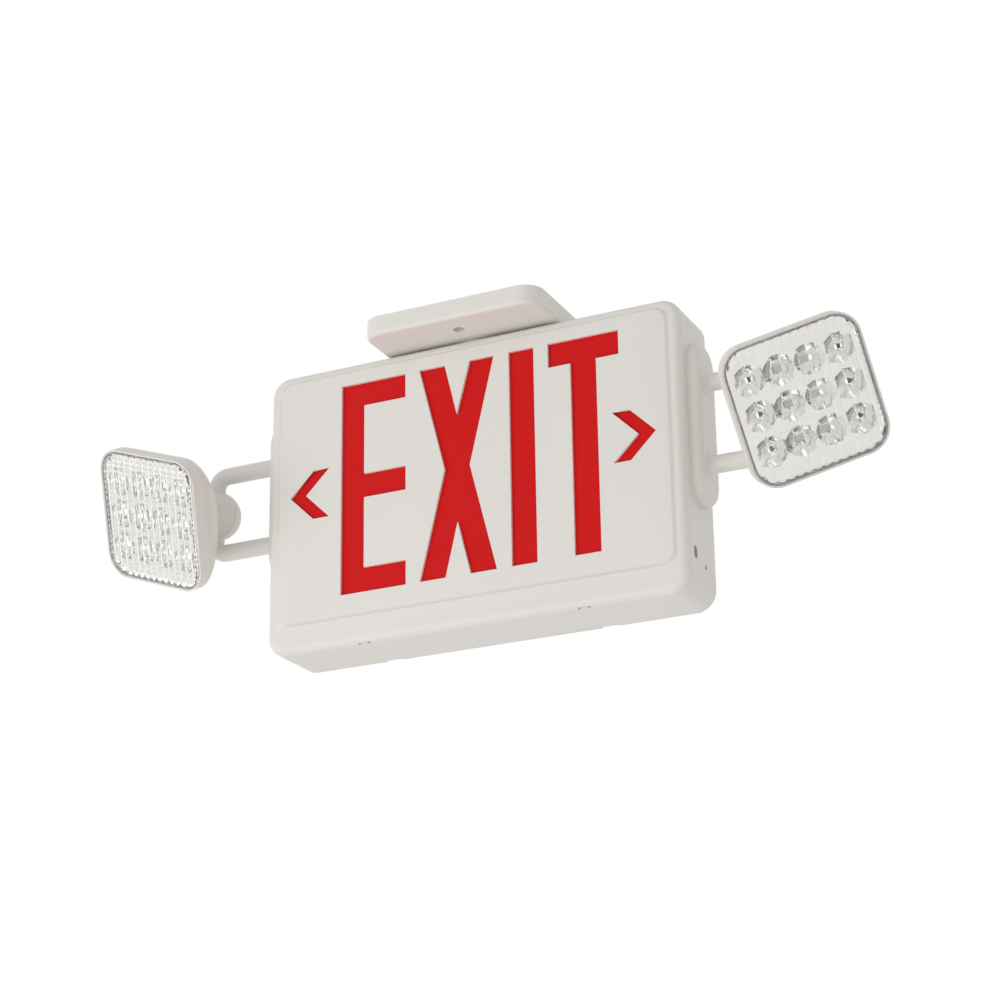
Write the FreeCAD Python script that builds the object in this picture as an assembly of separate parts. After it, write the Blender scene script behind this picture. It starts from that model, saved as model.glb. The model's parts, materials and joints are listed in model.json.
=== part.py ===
"""Emergency exit light: an edge-of-ceiling sign with two adjustable lamp heads.

Units are millimetres, +Z is up and the sign faces -Y. The origin is the centre of the
canopy's ceiling face, so everything hangs below z = 0.
"""
import FreeCAD, Part
import math
import os

Vector = FreeCAD.Vector
Rotation = FreeCAD.Rotation
X_AXIS = Vector(1, 0, 0)
Y_AXIS = Vector(0, 1, 0)
Z_AXIS = Vector(0, 0, 1)

# ---- Clearances --------------------------------------------------------------------
SNAP_CLEARANCE = 0.3        # round a plate that drops into a moulding
SLIDE_CLEARANCE = 0.35      # round the button in its guide
BALL_CLEARANCE = 0.3        # between the lamp's socket and its swivel ball
RUNNING_CLEARANCE = 0.06    # radial, on a shaft that turns in a bore
SCREW_CLEARANCE = 0.4       # radial, round a screw in its pass hole

# ---- Canopy ------------------------------------------------------------------------
CANOPY_WIDTH = 131.5
CANOPY_HEIGHT = 13.6
CANOPY_WALL = 2.5
CANOPY_CORNER = 14.0
CANOPY_EDGE_RADIUS = 3.0
CANOPY_GAP = 2.0            # stand-off between canopy and housing
COLLAR_RADIUS = 16.0
CANOPY_SCREW_SPACING = 69.85
CANOPY_SCREW_RADIUS = 2.0
CANOPY_SCREW_HEAD_RADIUS = 3.6
SCREW_WELL_WALL = 2.0
CROSSBAR_LENGTH = 101.6
CROSSBAR_END_GAP = 0.7      # to the canopy's inner face at each end
CROSSBAR_WIDTH = 25.0
CROSSBAR_THICKNESS = 2.0
BOX_SCREW_SPACING = 88.9    # ceiling outlet box
BOX_SLOT_LENGTH = 9.0
BOX_SLOT_RADIUS = 2.2
STEM_RADIUS = 6.5
STEM_BORE_RADIUS = 4.5
STEM_REACH = 8.0            # past the housing's inner face
STEM_HEAD_ROOM = 6.0        # past the canopy's inner face
LOCKNUT_ACROSS_FLATS = 19.0
LOCKNUT_THICKNESS = 3.0

# ---- Housing -----------------------------------------------------------------------
HOUSING_WIDTH = 308.0
HOUSING_HEIGHT = 204.2
HOUSING_DEPTH = 49.0        # legend panel to mounting back
HOUSING_WALL = 2.5
HOUSING_CORNER = 14.0
FRONT_EDGE_RADIUS = 6.0
PANEL_RISE = 1.6
PANEL_SLOPE = 1.2           # run of the panel's sloping edge
PANEL_WALL = 2.0
PANEL_SIDE_MARGIN = 8.5
PANEL_TOP_MARGIN = 6.5
PANEL_BOTTOM_MARGIN = 18.8
PANEL_CORNER = 9.0
POCKET_MARGIN = 2.5         # from the panel's edge to the diffuser's pocket

# ---- Legend ------------------------------------------------------------------------
LEGEND_HEIGHT = 152.4       # six inch letters, cut later in the bare field
LEGEND_TOP_MARGIN = 10.5    # below the panel's top edge
CHEVRON_APEX_OFFSET = 135.7
CHEVRON_REACH = 18.0
CHEVRON_HALF_HEIGHT = 17.7
CHEVRON_STROKE = 12.3
DIFFUSER_THICKNESS = 2.0

# ---- Light tray --------------------------------------------------------------------
TRAY_SIDE_ROOM = 12.0       # to the housing's inner side, for screws and the test board
TRAY_DEPTH = 14.0
TRAY_WALL = 1.5
TRAY_MARGIN = 5.0           # above and below the letters
TRAY_TAB_HEIGHT = 12.0
TRAY_TAB_OFFSET = 56.0      # from the legend's centre line
TRAY_TAB_SETBACK = 6.0
TRAY_BOSS_RADIUS = 3.4
TRAY_SCREW_BITE = 4.5
LED_BOARD_END_GAP = 8.0     # to the tray's inner face at each end
LED_BOARD_WIDTH = 9.0
BOARD_THICKNESS = 1.6
LEGEND_LED_COUNT = 12
LEGEND_LED_SIZE = 3.0
LEGEND_LED_HEIGHT = 1.0

# ---- Back plate --------------------------------------------------------------------
BACK_PLATE_THICKNESS = 2.5
KEYHOLE_SPACING = 200.0
KEYHOLE_HEIGHT = 42.0       # above the housing's middle
KEYHOLE_HEAD_RADIUS = 4.5
KEYHOLE_NECK_RADIUS = 2.2
KEYHOLE_RISE = 9.0
KNOCKOUT_RADIUS = 11.1
KNOCKOUT_GROOVE = 1.0
HOOK_OFFSET = 80.0
HOOK_WIDTH = 10.0
HOOK_LENGTH = 9.0
HOOK_THICKNESS = 1.8
HOOK_BARB = 0.9
HOOK_LEDGE_DEPTH = 2.0
RELEASE_NOTCH_HEIGHT = 1.2
RELEASE_NOTCH_WIDTH = 12.0
PIN_HOLE_RADIUS = 1.1
PIN_HOLE_SPACING = 7.0
PIN_HOLE_SETBACK = 5.5      # behind the legend panel

# ---- Charger and battery -----------------------------------------------------------
CHARGER_LENGTH = 120.0
CHARGER_HEIGHT = 84.0
CHARGER_X = -66.0
STANDOFF_LENGTH = 5.0
STANDOFF_RADIUS = 3.2
STANDOFF_INSET = 5.0
BOARD_SCREW_RADIUS = 1.4
BOARD_SCREW_HEAD_RADIUS = 2.6
CORE_LENGTH = 42.0
CORE_HEIGHT = 36.0
CORE_STACK = 11.0
COIL_DEPTH = 18.0
COIL_LENGTH = 25.0
COIL_HEIGHT = 23.0
CAPACITOR_RADIUS = 5.0
CAPACITOR_LENGTH = 14.0
TERMINAL_LENGTH = 26.0
TERMINAL_DEPTH = 10.0
TERMINAL_HEIGHT = 10.0
TERMINAL_INSET = 14.0       # below the board's top edge
TERMINAL_WELL_DEPTH = 4.0
TERMINAL_POLES = 3
CELL_RADIUS = 7.2
CELL_LENGTH = 50.0
CELL_ROWS = 2
CELL_COLUMNS = 2
BATTERY_X = 66.0
CRADLE_WALL = 1.5
STRAP_WIDTH = 9.0
STRAP_THICKNESS = 0.6

# ---- Test button and status light --------------------------------------------------
BUTTON_BEHIND_PANEL = 14.4
BUTTON_ABOVE_BOTTOM = 29.1
BUTTON_WIDTH = 5.0
BUTTON_HEIGHT = 8.0
BUTTON_SUNK = 0.6
BUTTON_TRAVEL = 1.2
BUTTON_FLANGE = 1.4
BUTTON_FLANGE_DEPTH = 1.2
BUTTON_STEM_RADIUS = 1.6
BUTTON_SPRING_RADIUS = 2.3
BUTTON_SPRING_WIRE = 0.3
SWITCH_SIZE = 6.0
SWITCH_HEIGHT = 3.4
TEST_BOARD_LENGTH = 30.0
TEST_BOARD_HEIGHT = 22.0
STATUS_BEHIND_PANEL = 31.6
STATUS_ABOVE_BOTTOM = 23.6
STATUS_RADIUS = 1.5

# ---- Side arms ---------------------------------------------------------------------
ARM_BEHIND_PANEL = 29.0
ARM_BELOW_TOP = 83.4
ARM_PLATE_WIDTH = 34.0
ARM_PLATE_HEIGHT = 114.0
ARM_PLATE_THICKNESS = 8.0
ARM_PLATE_EDGE = 6.0
ARM_TUBE_RADIUS = 6.0
ARM_BORE_RADIUS = 3.6
ARM_TUBE_SPACING = 58.0
ARM_REACH = 59.0            # housing side to pivot bar
ARM_BEND_RADIUS = 9.0
ARM_ROOT_RADIUS = 4.0
ARM_SCREW_SPACING = 84.0
ARM_SCREW_RADIUS = 1.9
ARM_SCREW_LENGTH = 9.0
ARM_SCREW_HEAD_RADIUS = 4.0
ARM_SCREW_HEAD_HEIGHT = 2.2

# ---- Knuckle -----------------------------------------------------------------------
KNUCKLE_RADIUS = 17.4
KNUCKLE_SPLIT = 0.4         # gap between the two clamp halves
KNUCKLE_SCREW_OFFSET = 11.0
KNUCKLE_SCREW_RADIUS = 1.5
KNUCKLE_SCREW_HEAD_RADIUS = 2.8
KNUCKLE_SCREW_DEPTH = 6.5
SWIVEL_OFFSET = 27.0        # pivot bar to swivel ball
SWIVEL_BALL_RADIUS = 10.0
SWIVEL_STEM_RADIUS = 3.5
SWIVEL_BOLT_HEAD_RADIUS = 5.2
SWIVEL_BOLT_HEAD_HEIGHT = 2.6
SWIVEL_BALL_FLAT = 7.5      # ball centre to its cut ends

# ---- Lamp head ---------------------------------------------------------------------
LAMP_SIZE = 93.0
LAMP_CORNER = 17.3
LAMP_WALL = 2.2
LENS_AHEAD = 40.0           # swivel ball to the rim of the lamp
LAMP_STRAIGHT = 9.0
LAMP_DEPTH = 41.5           # rim to the flat rear
LAMP_TAPER = 20.0           # how far each side draws in towards the rear
LAMP_TAPER_POWER = 1.4
LAMP_CORNER_GROWTH = 7.0
LAMP_REAR_EDGE = 1.5
LAMP_BANDS = 7              # steps in the drawn taper
SOCKET_WALL = 2.4
SOCKET_MOUTH_RADIUS = 9.2
TRUNNION_RADIUS = 2.0       # stub pins the lamp tilts on
TRUNNION_REACH = 12.0
RETAINER_DEPTH = 5.0
RETAINER_FLANGE_DEPTH = 1.6
RETAINER_EAR_WIDTH = 8.0
RETAINER_SCREW_RADIUS = 1.2
RETAINER_SCREW_HEAD_RADIUS = 2.2
RETAINER_SCREW_BITE = 1.4
LENS_WALL = 1.8
LENS_RISE = 0.8
LENS_RIM = 1.3              # width of shell left round the lens
LENS_SEAT_DEPTH = 3.0
LENS_EDGE_RADIUS = 1.0
CUP_COLUMNS = 4
CUP_ROWS = 3
CUP_PITCH_X = 20.2
CUP_PITCH_Z = 23.5
CUP_MOUTH_RADIUS = 9.4
CUP_FLOOR_RADIUS = 3.2
CUP_DEPTH = 9.5
CUP_WALL = 0.9
REFLECTOR_SIZE = 84.0
REFLECTOR_CORNER = 13.0
REFLECTOR_WALL = 1.4
LAMP_BOARD_WIDTH = 72.0
LAMP_BOARD_HEIGHT = 56.0
LAMP_LED_SIZE = 3.5
LAMP_LED_HEIGHT = 0.8
PAN_LEFT = -9.0             # aim of each lamp, degrees
PAN_RIGHT = 25.0
LAMP_ROLL = 21.0
LAMP_TILT = 31.0

# ---- Places worked out from the sizes ----------------------------------------------
CANOPY_LENGTH = CROSSBAR_LENGTH + 2 * (CROSSBAR_END_GAP + CANOPY_WALL)
PANEL_Y = -HOUSING_DEPTH / 2
BORDER_Y = PANEL_Y + PANEL_RISE
BACK_Y = HOUSING_DEPTH / 2
POCKET_Y = PANEL_Y + PANEL_WALL
INNER_FRONT_Y = BORDER_Y + HOUSING_WALL
SIDE_X = HOUSING_WIDTH / 2
INNER_X = SIDE_X - HOUSING_WALL
TRAY_HALF_WIDTH = INNER_X - TRAY_SIDE_ROOM
LED_BOARD_LENGTH = 2 * (TRAY_HALF_WIDTH - TRAY_WALL - LED_BOARD_END_GAP)
TOP_Z = -(CANOPY_HEIGHT + CANOPY_GAP)
BOTTOM_Z = TOP_Z - HOUSING_HEIGHT
MIDDLE_Z = (TOP_Z + BOTTOM_Z) / 2
PANEL_WIDTH = HOUSING_WIDTH - 2 * PANEL_SIDE_MARGIN
PANEL_HEIGHT = HOUSING_HEIGHT - PANEL_TOP_MARGIN - PANEL_BOTTOM_MARGIN
PANEL_MIDDLE_Z = TOP_Z - PANEL_TOP_MARGIN - PANEL_HEIGHT / 2
LEGEND_Z = TOP_Z - PANEL_TOP_MARGIN - LEGEND_TOP_MARGIN - LEGEND_HEIGHT / 2
DIFFUSER_BACK_Y = POCKET_Y + DIFFUSER_THICKNESS
TRAY_BACK_Y = DIFFUSER_BACK_Y + TRAY_DEPTH
TRAY_TOP_Z = LEGEND_Z + LEGEND_HEIGHT / 2 + TRAY_MARGIN
TRAY_BOTTOM_Z = LEGEND_Z - LEGEND_HEIGHT / 2 - TRAY_MARGIN
TRAY_TAB_Y = DIFFUSER_BACK_Y + TRAY_TAB_SETBACK
TRAY_SCREW_X = (TRAY_HALF_WIDTH + INNER_X) / 2 + 1.0
PLATE_FRONT_Y = BACK_Y - BACK_PLATE_THICKNESS
BOARD_BACK_Y = PLATE_FRONT_Y - STANDOFF_LENGTH
BOARD_FRONT_Y = BOARD_BACK_Y - BOARD_THICKNESS
ARM_Y = PANEL_Y + ARM_BEHIND_PANEL
ARM_Z = TOP_Z - ARM_BELOW_TOP
BAR_X = SIDE_X + ARM_REACH
BUTTON_Y = PANEL_Y + BUTTON_BEHIND_PANEL
BUTTON_Z = BOTTOM_Z + BUTTON_ABOVE_BOTTOM
STATUS_Y = PANEL_Y + STATUS_BEHIND_PANEL
STATUS_Z = BOTTOM_Z + STATUS_ABOVE_BOTTOM
BUTTON_FACE_X = SIDE_X - BUTTON_SUNK
BUTTON_FLANGE_X = INNER_X - BUTTON_FLANGE_DEPTH
TEST_BOARD_X = TRAY_HALF_WIDTH + 0.5
TEST_BOARD_FACE_X = TEST_BOARD_X + BOARD_THICKNESS
SWITCH_TIP_X = TEST_BOARD_FACE_X + SWITCH_HEIGHT
RIM_Y = -LENS_AHEAD
SOCKET_RADIUS = SWIVEL_BALL_RADIUS + BALL_CLEARANCE
SOCKET_OUTER_RADIUS = SOCKET_RADIUS + SOCKET_WALL
SOCKET_SEAT_Y = RIM_Y + LAMP_DEPTH - LAMP_WALL
LENS_BACK_Y = RIM_Y + LENS_SEAT_DEPTH
LENS_SIZE = LAMP_SIZE - 2 * LENS_RIM
LENS_CORNER = LAMP_CORNER - LENS_RIM
REFLECTOR_BACK_Y = LENS_BACK_Y + REFLECTOR_WALL
CUP_FLOOR_Y = LENS_BACK_Y + CUP_DEPTH
LAMP_BOARD_Y = CUP_FLOOR_Y + LAMP_LED_HEIGHT


# ---- Helpers -----------------------------------------------------------------------
def block(x_from, x_to, y_from, y_to, z_from, z_to):
    """A box between two corners."""
    size = (x_to - x_from, y_to - y_from, z_to - z_from)
    return Part.makeBox(*size, Vector(x_from, y_from, z_from))


def rod(radius, start, end):
    """A round bar between two points."""
    run = end - start
    return Part.makeCylinder(radius, run.Length, start, run)


def rounded_wire(width, height, corner, y=0.0, centre_x=0.0, centre_z=0.0):
    """A rounded rectangle in the XZ plane at depth y, as four lines and four arcs."""
    half_x = width / 2 - corner
    half_z = height / 2 - corner
    edges = []
    last = None
    first = None
    for turn, (side_x, side_z) in enumerate(((1, 1), (-1, 1), (-1, -1), (1, -1))):
        middle = Vector(centre_x + side_x * half_x, y, centre_z + side_z * half_z)
        points = []
        for step in range(3):
            angle = math.radians(turn * 90 + step * 45)
            points.append(middle + Vector(corner * math.cos(angle), 0, corner * math.sin(angle)))
        if last is not None:
            edges.append(Part.makeLine(last, points[0]))
        else:
            first = points[0]
        edges.append(Part.Arc(*points).toShape())
        last = points[2]
    edges.append(Part.makeLine(last, first))
    return Part.Wire(edges)


def rounded_slab(width, height, corner, y_from, y_to, centre_x=0.0, centre_z=0.0):
    """A rounded rectangle drawn from one depth to another."""
    face = Part.Face(rounded_wire(width, height, corner, y_from, centre_x, centre_z))
    return face.extrude(Vector(0, y_to - y_from, 0))


def polygon_prism(points, y_from, y_to):
    """A prism along Y from a list of (x, z) corners."""
    corners = [Vector(x, y_from, z) for x, z in points]
    face = Part.Face(Part.makePolygon(corners + corners[:1]))
    return face.extrude(Vector(0, y_to - y_from, 0))


def stadium(width, height, x_from, x_to, y, z):
    """A round-ended bar section, upright in the YZ plane, drawn along X."""
    radius = width / 2
    reach = height / 2 - radius
    lower = rod(radius, Vector(x_from, y, z - reach), Vector(x_to, y, z - reach))
    upper = rod(radius, Vector(x_from, y, z + reach), Vector(x_to, y, z + reach))
    return lower.fuse([upper, block(x_from, x_to, y - radius, y + radius, z - reach, z + reach)])


def hexagon(across_flats, z_from, z_to):
    """A hexagonal prism round the Z axis."""
    radius = across_flats / math.sqrt(3)
    corners = []
    for corner in range(7):
        angle = math.radians(60 * corner)
        corners.append(Vector(radius * math.cos(angle), radius * math.sin(angle), z_from))
    return Part.Face(Part.makePolygon(corners)).extrude(Vector(0, 0, z_to - z_from))


def screw(radius, length, head_radius, head_height, seat, direction):
    """A pan-head screw: its head stands on the seat and its shank points along direction."""
    unit = Vector(direction)
    unit.normalize()
    head = rod(head_radius, seat - unit * head_height, seat)
    return head.fuse(rod(radius, seat, seat + unit * length)).removeSplitter()


def group(shapes):
    """Separate solids kept together in one node."""
    return Part.makeCompound(shapes)


def merged(base, *others):
    """One solid without the seams left by fusing."""
    return base.fuse(list(others)).removeSplitter()


def edges_at(shape, test):
    """The edges whose middle point passes a test."""
    return [edge for edge in shape.Edges if test(edge.CenterOfMass)]


# ---- Canopy ------------------------------------------------------------------------
def flat_slab(width, length, corner, z_from, z_to):
    """A rounded rectangle in plan, drawn upwards."""
    slab = rounded_slab(width, length, corner, z_from, z_to)
    slab.rotate(Vector(0, 0, 0), X_AXIS, 90)
    return slab


def canopy_screw_places():
    return [Vector(0, side * CANOPY_SCREW_SPACING / 2, 0) for side in (-1, 1)]


def canopy():
    """Shallow drawn cover, open to the ceiling, with screw wells and a seating collar."""
    floor_z = -CANOPY_HEIGHT
    inner_z = floor_z + CANOPY_WALL
    body = flat_slab(CANOPY_WIDTH, CANOPY_LENGTH, CANOPY_CORNER, floor_z, 0)
    body = body.makeFillet(CANOPY_EDGE_RADIUS, edges_at(body, lambda p: p.z < floor_z + 0.01))
    hollow = flat_slab(CANOPY_WIDTH - 2 * CANOPY_WALL, CANOPY_LENGTH - 2 * CANOPY_WALL,
                       CANOPY_CORNER - CANOPY_WALL, inner_z, 1)
    body = body.cut(hollow)
    collar = rod(COLLAR_RADIUS, Vector(0, 0, TOP_Z), Vector(0, 0, inner_z))
    wells = []
    holes = [rod(STEM_RADIUS + RUNNING_CLEARANCE, Vector(0, 0, TOP_Z - 1), Vector(0, 0, 1))]
    well_radius = CANOPY_SCREW_HEAD_RADIUS + SCREW_CLEARANCE
    well_top = -CROSSBAR_THICKNESS
    for place in canopy_screw_places():
        foot = place + Z_AXIS * floor_z
        top = place + Z_AXIS * well_top
        seat = place + Z_AXIS * (well_top - SCREW_WELL_WALL)
        wells.append(rod(well_radius + SCREW_WELL_WALL, foot + Z_AXIS * CANOPY_WALL / 2, top))
        holes.append(rod(well_radius, foot - Z_AXIS, seat))
        holes.append(rod(CANOPY_SCREW_RADIUS + SCREW_CLEARANCE, seat, top + Z_AXIS))
    return merged(body, collar, *wells).cut(holes)


def crossbar():
    """Steel bar that screws to the outlet box and takes the canopy screws."""
    half = CROSSBAR_WIDTH / 2
    bar = block(-half, half, -CROSSBAR_LENGTH / 2, CROSSBAR_LENGTH / 2, -CROSSBAR_THICKNESS, 0)
    corners = edges_at(bar, lambda p: abs(p.z + CROSSBAR_THICKNESS / 2) < 0.01)
    bar = bar.makeFillet(half / 2, corners)
    holes = [rod(STEM_RADIUS + SCREW_CLEARANCE, Vector(0, 0, -5), Vector(0, 0, 1))]
    for place in canopy_screw_places():
        holes.append(rod(CANOPY_SCREW_RADIUS + RUNNING_CLEARANCE, place - Z_AXIS * 5, place + Z_AXIS))
    reach = BOX_SLOT_LENGTH / 2 - BOX_SLOT_RADIUS
    for side in (-1, 1):
        y = side * BOX_SCREW_SPACING / 2
        for end in (y - reach, y + reach):
            holes.append(rod(BOX_SLOT_RADIUS, Vector(0, end, -5), Vector(0, end, 1)))
        holes.append(block(-BOX_SLOT_RADIUS, BOX_SLOT_RADIUS, y - reach, y + reach, -5, 1))
    return bar.cut(holes)


def canopy_screws():
    seat_z = -CROSSBAR_THICKNESS - SCREW_WELL_WALL
    head_height = CANOPY_SCREW_RADIUS
    screws = []
    for place in canopy_screw_places():
        seat = place + Z_AXIS * seat_z
        screws.append(screw(CANOPY_SCREW_RADIUS, -seat_z - 0.3, CANOPY_SCREW_HEAD_RADIUS,
                            head_height, seat, Z_AXIS))
    return group(screws)


def stem_ends():
    """Lower and upper ends of the threaded stem."""
    lower = TOP_Z - HOUSING_WALL - STEM_REACH
    upper = -CANOPY_HEIGHT + CANOPY_WALL + STEM_HEAD_ROOM
    return lower, upper


def stem():
    lower, upper = stem_ends()
    tube = rod(STEM_RADIUS, Vector(0, 0, lower), Vector(0, 0, upper))
    return tube.cut(rod(STEM_BORE_RADIUS, Vector(0, 0, lower - 1), Vector(0, 0, upper + 1)))


def locknuts():
    """One nut in the canopy and one in the housing."""
    bore = rod(STEM_RADIUS, Vector(0, 0, TOP_Z - HOUSING_HEIGHT), Vector(0, 0, 1))
    upper_z = -CANOPY_HEIGHT + CANOPY_WALL
    lower_z = TOP_Z - HOUSING_WALL
    nuts = [hexagon(LOCKNUT_ACROSS_FLATS, upper_z, upper_z + LOCKNUT_THICKNESS)]
    nuts.append(hexagon(LOCKNUT_ACROSS_FLATS, lower_z - LOCKNUT_THICKNESS, lower_z))
    return group([nut.cut(bore) for nut in nuts])


# ---- Housing -----------------------------------------------------------------------
def chevron_outline(side):
    """Arrow corners: apex outwards on the given side of the legend."""
    apex = side * CHEVRON_APEX_OFFSET
    shape = (
        (0, 0),
        (CHEVRON_REACH, CHEVRON_HALF_HEIGHT),
        (CHEVRON_REACH + CHEVRON_STROKE, CHEVRON_HALF_HEIGHT),
        (CHEVRON_STROKE, 0),
        (CHEVRON_REACH + CHEVRON_STROKE, -CHEVRON_HALF_HEIGHT),
        (CHEVRON_REACH, -CHEVRON_HALF_HEIGHT),
    )
    return [(apex - side * x, LEGEND_Z + z) for x, z in shape]


def arm_screw_heights():
    return [ARM_Z + side * ARM_SCREW_SPACING / 2 for side in (-1, 1)]


def tray_screw_places():
    places = []
    for side_x in (-1, 1):
        for side_z in (-1, 1):
            places.append(Vector(side_x * TRAY_SCREW_X, TRAY_TAB_Y, LEGEND_Z + side_z * TRAY_TAB_OFFSET))
    return places


def housing_body():
    """Outer skin: bull-nosed box with the raised legend panel."""
    body = rounded_slab(HOUSING_WIDTH, HOUSING_HEIGHT, HOUSING_CORNER, BORDER_Y, BACK_Y, 0, MIDDLE_Z)
    rim = edges_at(body, lambda p: p.y < BORDER_Y + 0.01)
    body = body.makeFillet(FRONT_EDGE_RADIUS, rim)
    foot = rounded_wire(PANEL_WIDTH, PANEL_HEIGHT, PANEL_CORNER, BORDER_Y, 0, PANEL_MIDDLE_Z)
    face = rounded_wire(PANEL_WIDTH - 2 * PANEL_SLOPE, PANEL_HEIGHT - 2 * PANEL_SLOPE,
                        PANEL_CORNER - PANEL_SLOPE, PANEL_Y, 0, PANEL_MIDDLE_Z)
    return merged(body, Part.makeLoft([foot, face], True, True))


def housing_cavity():
    """Space inside the skin, with a shallow pocket for the diffuser."""
    cavity = rounded_slab(HOUSING_WIDTH - 2 * HOUSING_WALL, HOUSING_HEIGHT - 2 * HOUSING_WALL,
                          HOUSING_CORNER - HOUSING_WALL, INNER_FRONT_Y, BACK_Y + 1, 0, MIDDLE_Z)
    rim = edges_at(cavity, lambda p: p.y < INNER_FRONT_Y + 0.01)
    cavity = cavity.makeFillet(FRONT_EDGE_RADIUS - HOUSING_WALL, rim)
    pocket = rounded_slab(PANEL_WIDTH - 2 * POCKET_MARGIN, PANEL_HEIGHT - 2 * POCKET_MARGIN,
                          PANEL_CORNER - POCKET_MARGIN, POCKET_Y, INNER_FRONT_Y + 1, 0, PANEL_MIDDLE_Z)
    return merged(cavity, pocket)


def hook_ledges():
    """Ribs on the top and bottom walls that the back plate's hooks catch."""
    rear = PLATE_FRONT_Y - HOOK_LENGTH + HOOK_LEDGE_DEPTH
    ribs = []
    for side in (-1, 1):
        x = side * HOOK_OFFSET
        span = (x - HOOK_WIDTH / 2 - 1, x + HOOK_WIDTH / 2 + 1, rear, rear + HOOK_LEDGE_DEPTH)
        low = BOTTOM_Z + HOUSING_WALL
        high = TOP_Z - HOUSING_WALL
        ribs.append(block(*span, low - HOUSING_WALL / 2, low + HOOK_BARB + 0.6))
        ribs.append(block(*span, high - HOOK_BARB - 0.6, high + HOUSING_WALL / 2))
    return ribs


def housing_holes():
    """Openings for the chevrons, stem, arms, button, status light and service points."""
    holes = []
    for side in (-1, 1):
        holes.append(polygon_prism(chevron_outline(side), PANEL_Y - 1, POCKET_Y + 1))
        inner = Vector(side * (INNER_X - 1), ARM_Y, ARM_Z)
        outer = Vector(side * (SIDE_X + 1), ARM_Y, ARM_Z)
        for offset in (-ARM_TUBE_SPACING / 2, ARM_TUBE_SPACING / 2):
            shift = Z_AXIS * offset
            holes.append(rod(ARM_BORE_RADIUS, inner + shift, outer + shift))
        for height in arm_screw_heights():
            shift = Z_AXIS * (height - ARM_Z)
            holes.append(rod(ARM_SCREW_RADIUS + SCREW_CLEARANCE, inner + shift, outer + shift))
        x = side * HOOK_OFFSET
        holes.append(block(x - RELEASE_NOTCH_WIDTH / 2, x + RELEASE_NOTCH_WIDTH / 2, BACK_Y - 2, BACK_Y + 1,
                           BOTTOM_Z - 1, BOTTOM_Z + RELEASE_NOTCH_HEIGHT))
        for offset in (-PIN_HOLE_SPACING / 2, PIN_HOLE_SPACING / 2):
            start = Vector(x + offset, PANEL_Y + PIN_HOLE_SETBACK, BOTTOM_Z - 1)
            holes.append(rod(PIN_HOLE_RADIUS, start, start + Z_AXIS * (HOUSING_WALL + 2)))
    holes.append(rod(STEM_RADIUS + RUNNING_CLEARANCE, Vector(0, 0, TOP_Z - HOUSING_WALL - 1),
                     Vector(0, 0, TOP_Z + 1)))
    holes.append(stadium(BUTTON_WIDTH + 2 * SLIDE_CLEARANCE, BUTTON_HEIGHT + 2 * SLIDE_CLEARANCE,
                         INNER_X - 1, SIDE_X + 1, BUTTON_Y, BUTTON_Z))
    holes.append(rod(STATUS_RADIUS + RUNNING_CLEARANCE, Vector(INNER_X - 1, STATUS_Y, STATUS_Z),
                     Vector(SIDE_X + 1, STATUS_Y, STATUS_Z)))
    return holes


def test_board_posts():
    """Posts from the right wall that carry the test board."""
    posts = []
    for y, z in test_board_corners():
        posts.append(rod(STANDOFF_RADIUS - 0.7, Vector(TEST_BOARD_FACE_X, y, z),
                         Vector(INNER_X + HOUSING_WALL / 2, y, z)))
    return posts


def front_housing():
    """One moulding: legend face and four walls, with bosses for the light tray."""
    bosses = []
    pilots = []
    for place in tray_screw_places():
        start = Vector(place.x, INNER_FRONT_Y - HOUSING_WALL / 2, place.z)
        bosses.append(rod(TRAY_BOSS_RADIUS, start, place))
        pilots.append(rod(BOARD_SCREW_RADIUS, place - Y_AXIS * (TRAY_SCREW_BITE + 0.5), place))
    shell = housing_body().cut(housing_cavity())
    shell = merged(shell, *bosses, *hook_ledges(), *test_board_posts())
    return shell.cut(housing_holes() + pilots)


def legend_diffuser():
    """Coloured sheet behind the legend, seated in the pocket."""
    width = PANEL_WIDTH - 2 * POCKET_MARGIN - 2 * SNAP_CLEARANCE
    height = PANEL_HEIGHT - 2 * POCKET_MARGIN - 2 * SNAP_CLEARANCE
    return rounded_slab(width, height, PANEL_CORNER - POCKET_MARGIN, POCKET_Y, DIFFUSER_BACK_Y,
                        0, PANEL_MIDDLE_Z)


def light_tray():
    """White tray that spreads the light behind the diffuser."""
    tray = block(-TRAY_HALF_WIDTH, TRAY_HALF_WIDTH, DIFFUSER_BACK_Y, TRAY_BACK_Y, TRAY_BOTTOM_Z, TRAY_TOP_Z)
    hollow = block(TRAY_WALL - TRAY_HALF_WIDTH, TRAY_HALF_WIDTH - TRAY_WALL, DIFFUSER_BACK_Y - 1,
                   TRAY_BACK_Y - TRAY_WALL, TRAY_BOTTOM_Z + TRAY_WALL, TRAY_TOP_Z - TRAY_WALL)
    tabs = []
    holes = [hollow]
    for place in tray_screw_places():
        inner = math.copysign(TRAY_HALF_WIDTH - TRAY_WALL / 2, place.x)
        outer = math.copysign(INNER_X - SNAP_CLEARANCE, place.x)
        tabs.append(block(min(inner, outer), max(inner, outer), TRAY_TAB_Y, TRAY_TAB_Y + TRAY_WALL,
                          place.z - TRAY_TAB_HEIGHT / 2, place.z + TRAY_TAB_HEIGHT / 2))
        holes.append(rod(BOARD_SCREW_RADIUS + SCREW_CLEARANCE, place - Y_AXIS, place + Y_AXIS * 5))
    return merged(tray.cut(hollow), *tabs).cut(holes)


def tray_screws():
    screws = []
    for place in tray_screw_places():
        seat = place + Y_AXIS * TRAY_WALL
        screws.append(screw(BOARD_SCREW_RADIUS, TRAY_WALL + TRAY_SCREW_BITE, BOARD_SCREW_HEAD_RADIUS,
                            BOARD_SCREW_RADIUS, seat, -Y_AXIS))
    return group(screws)


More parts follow.
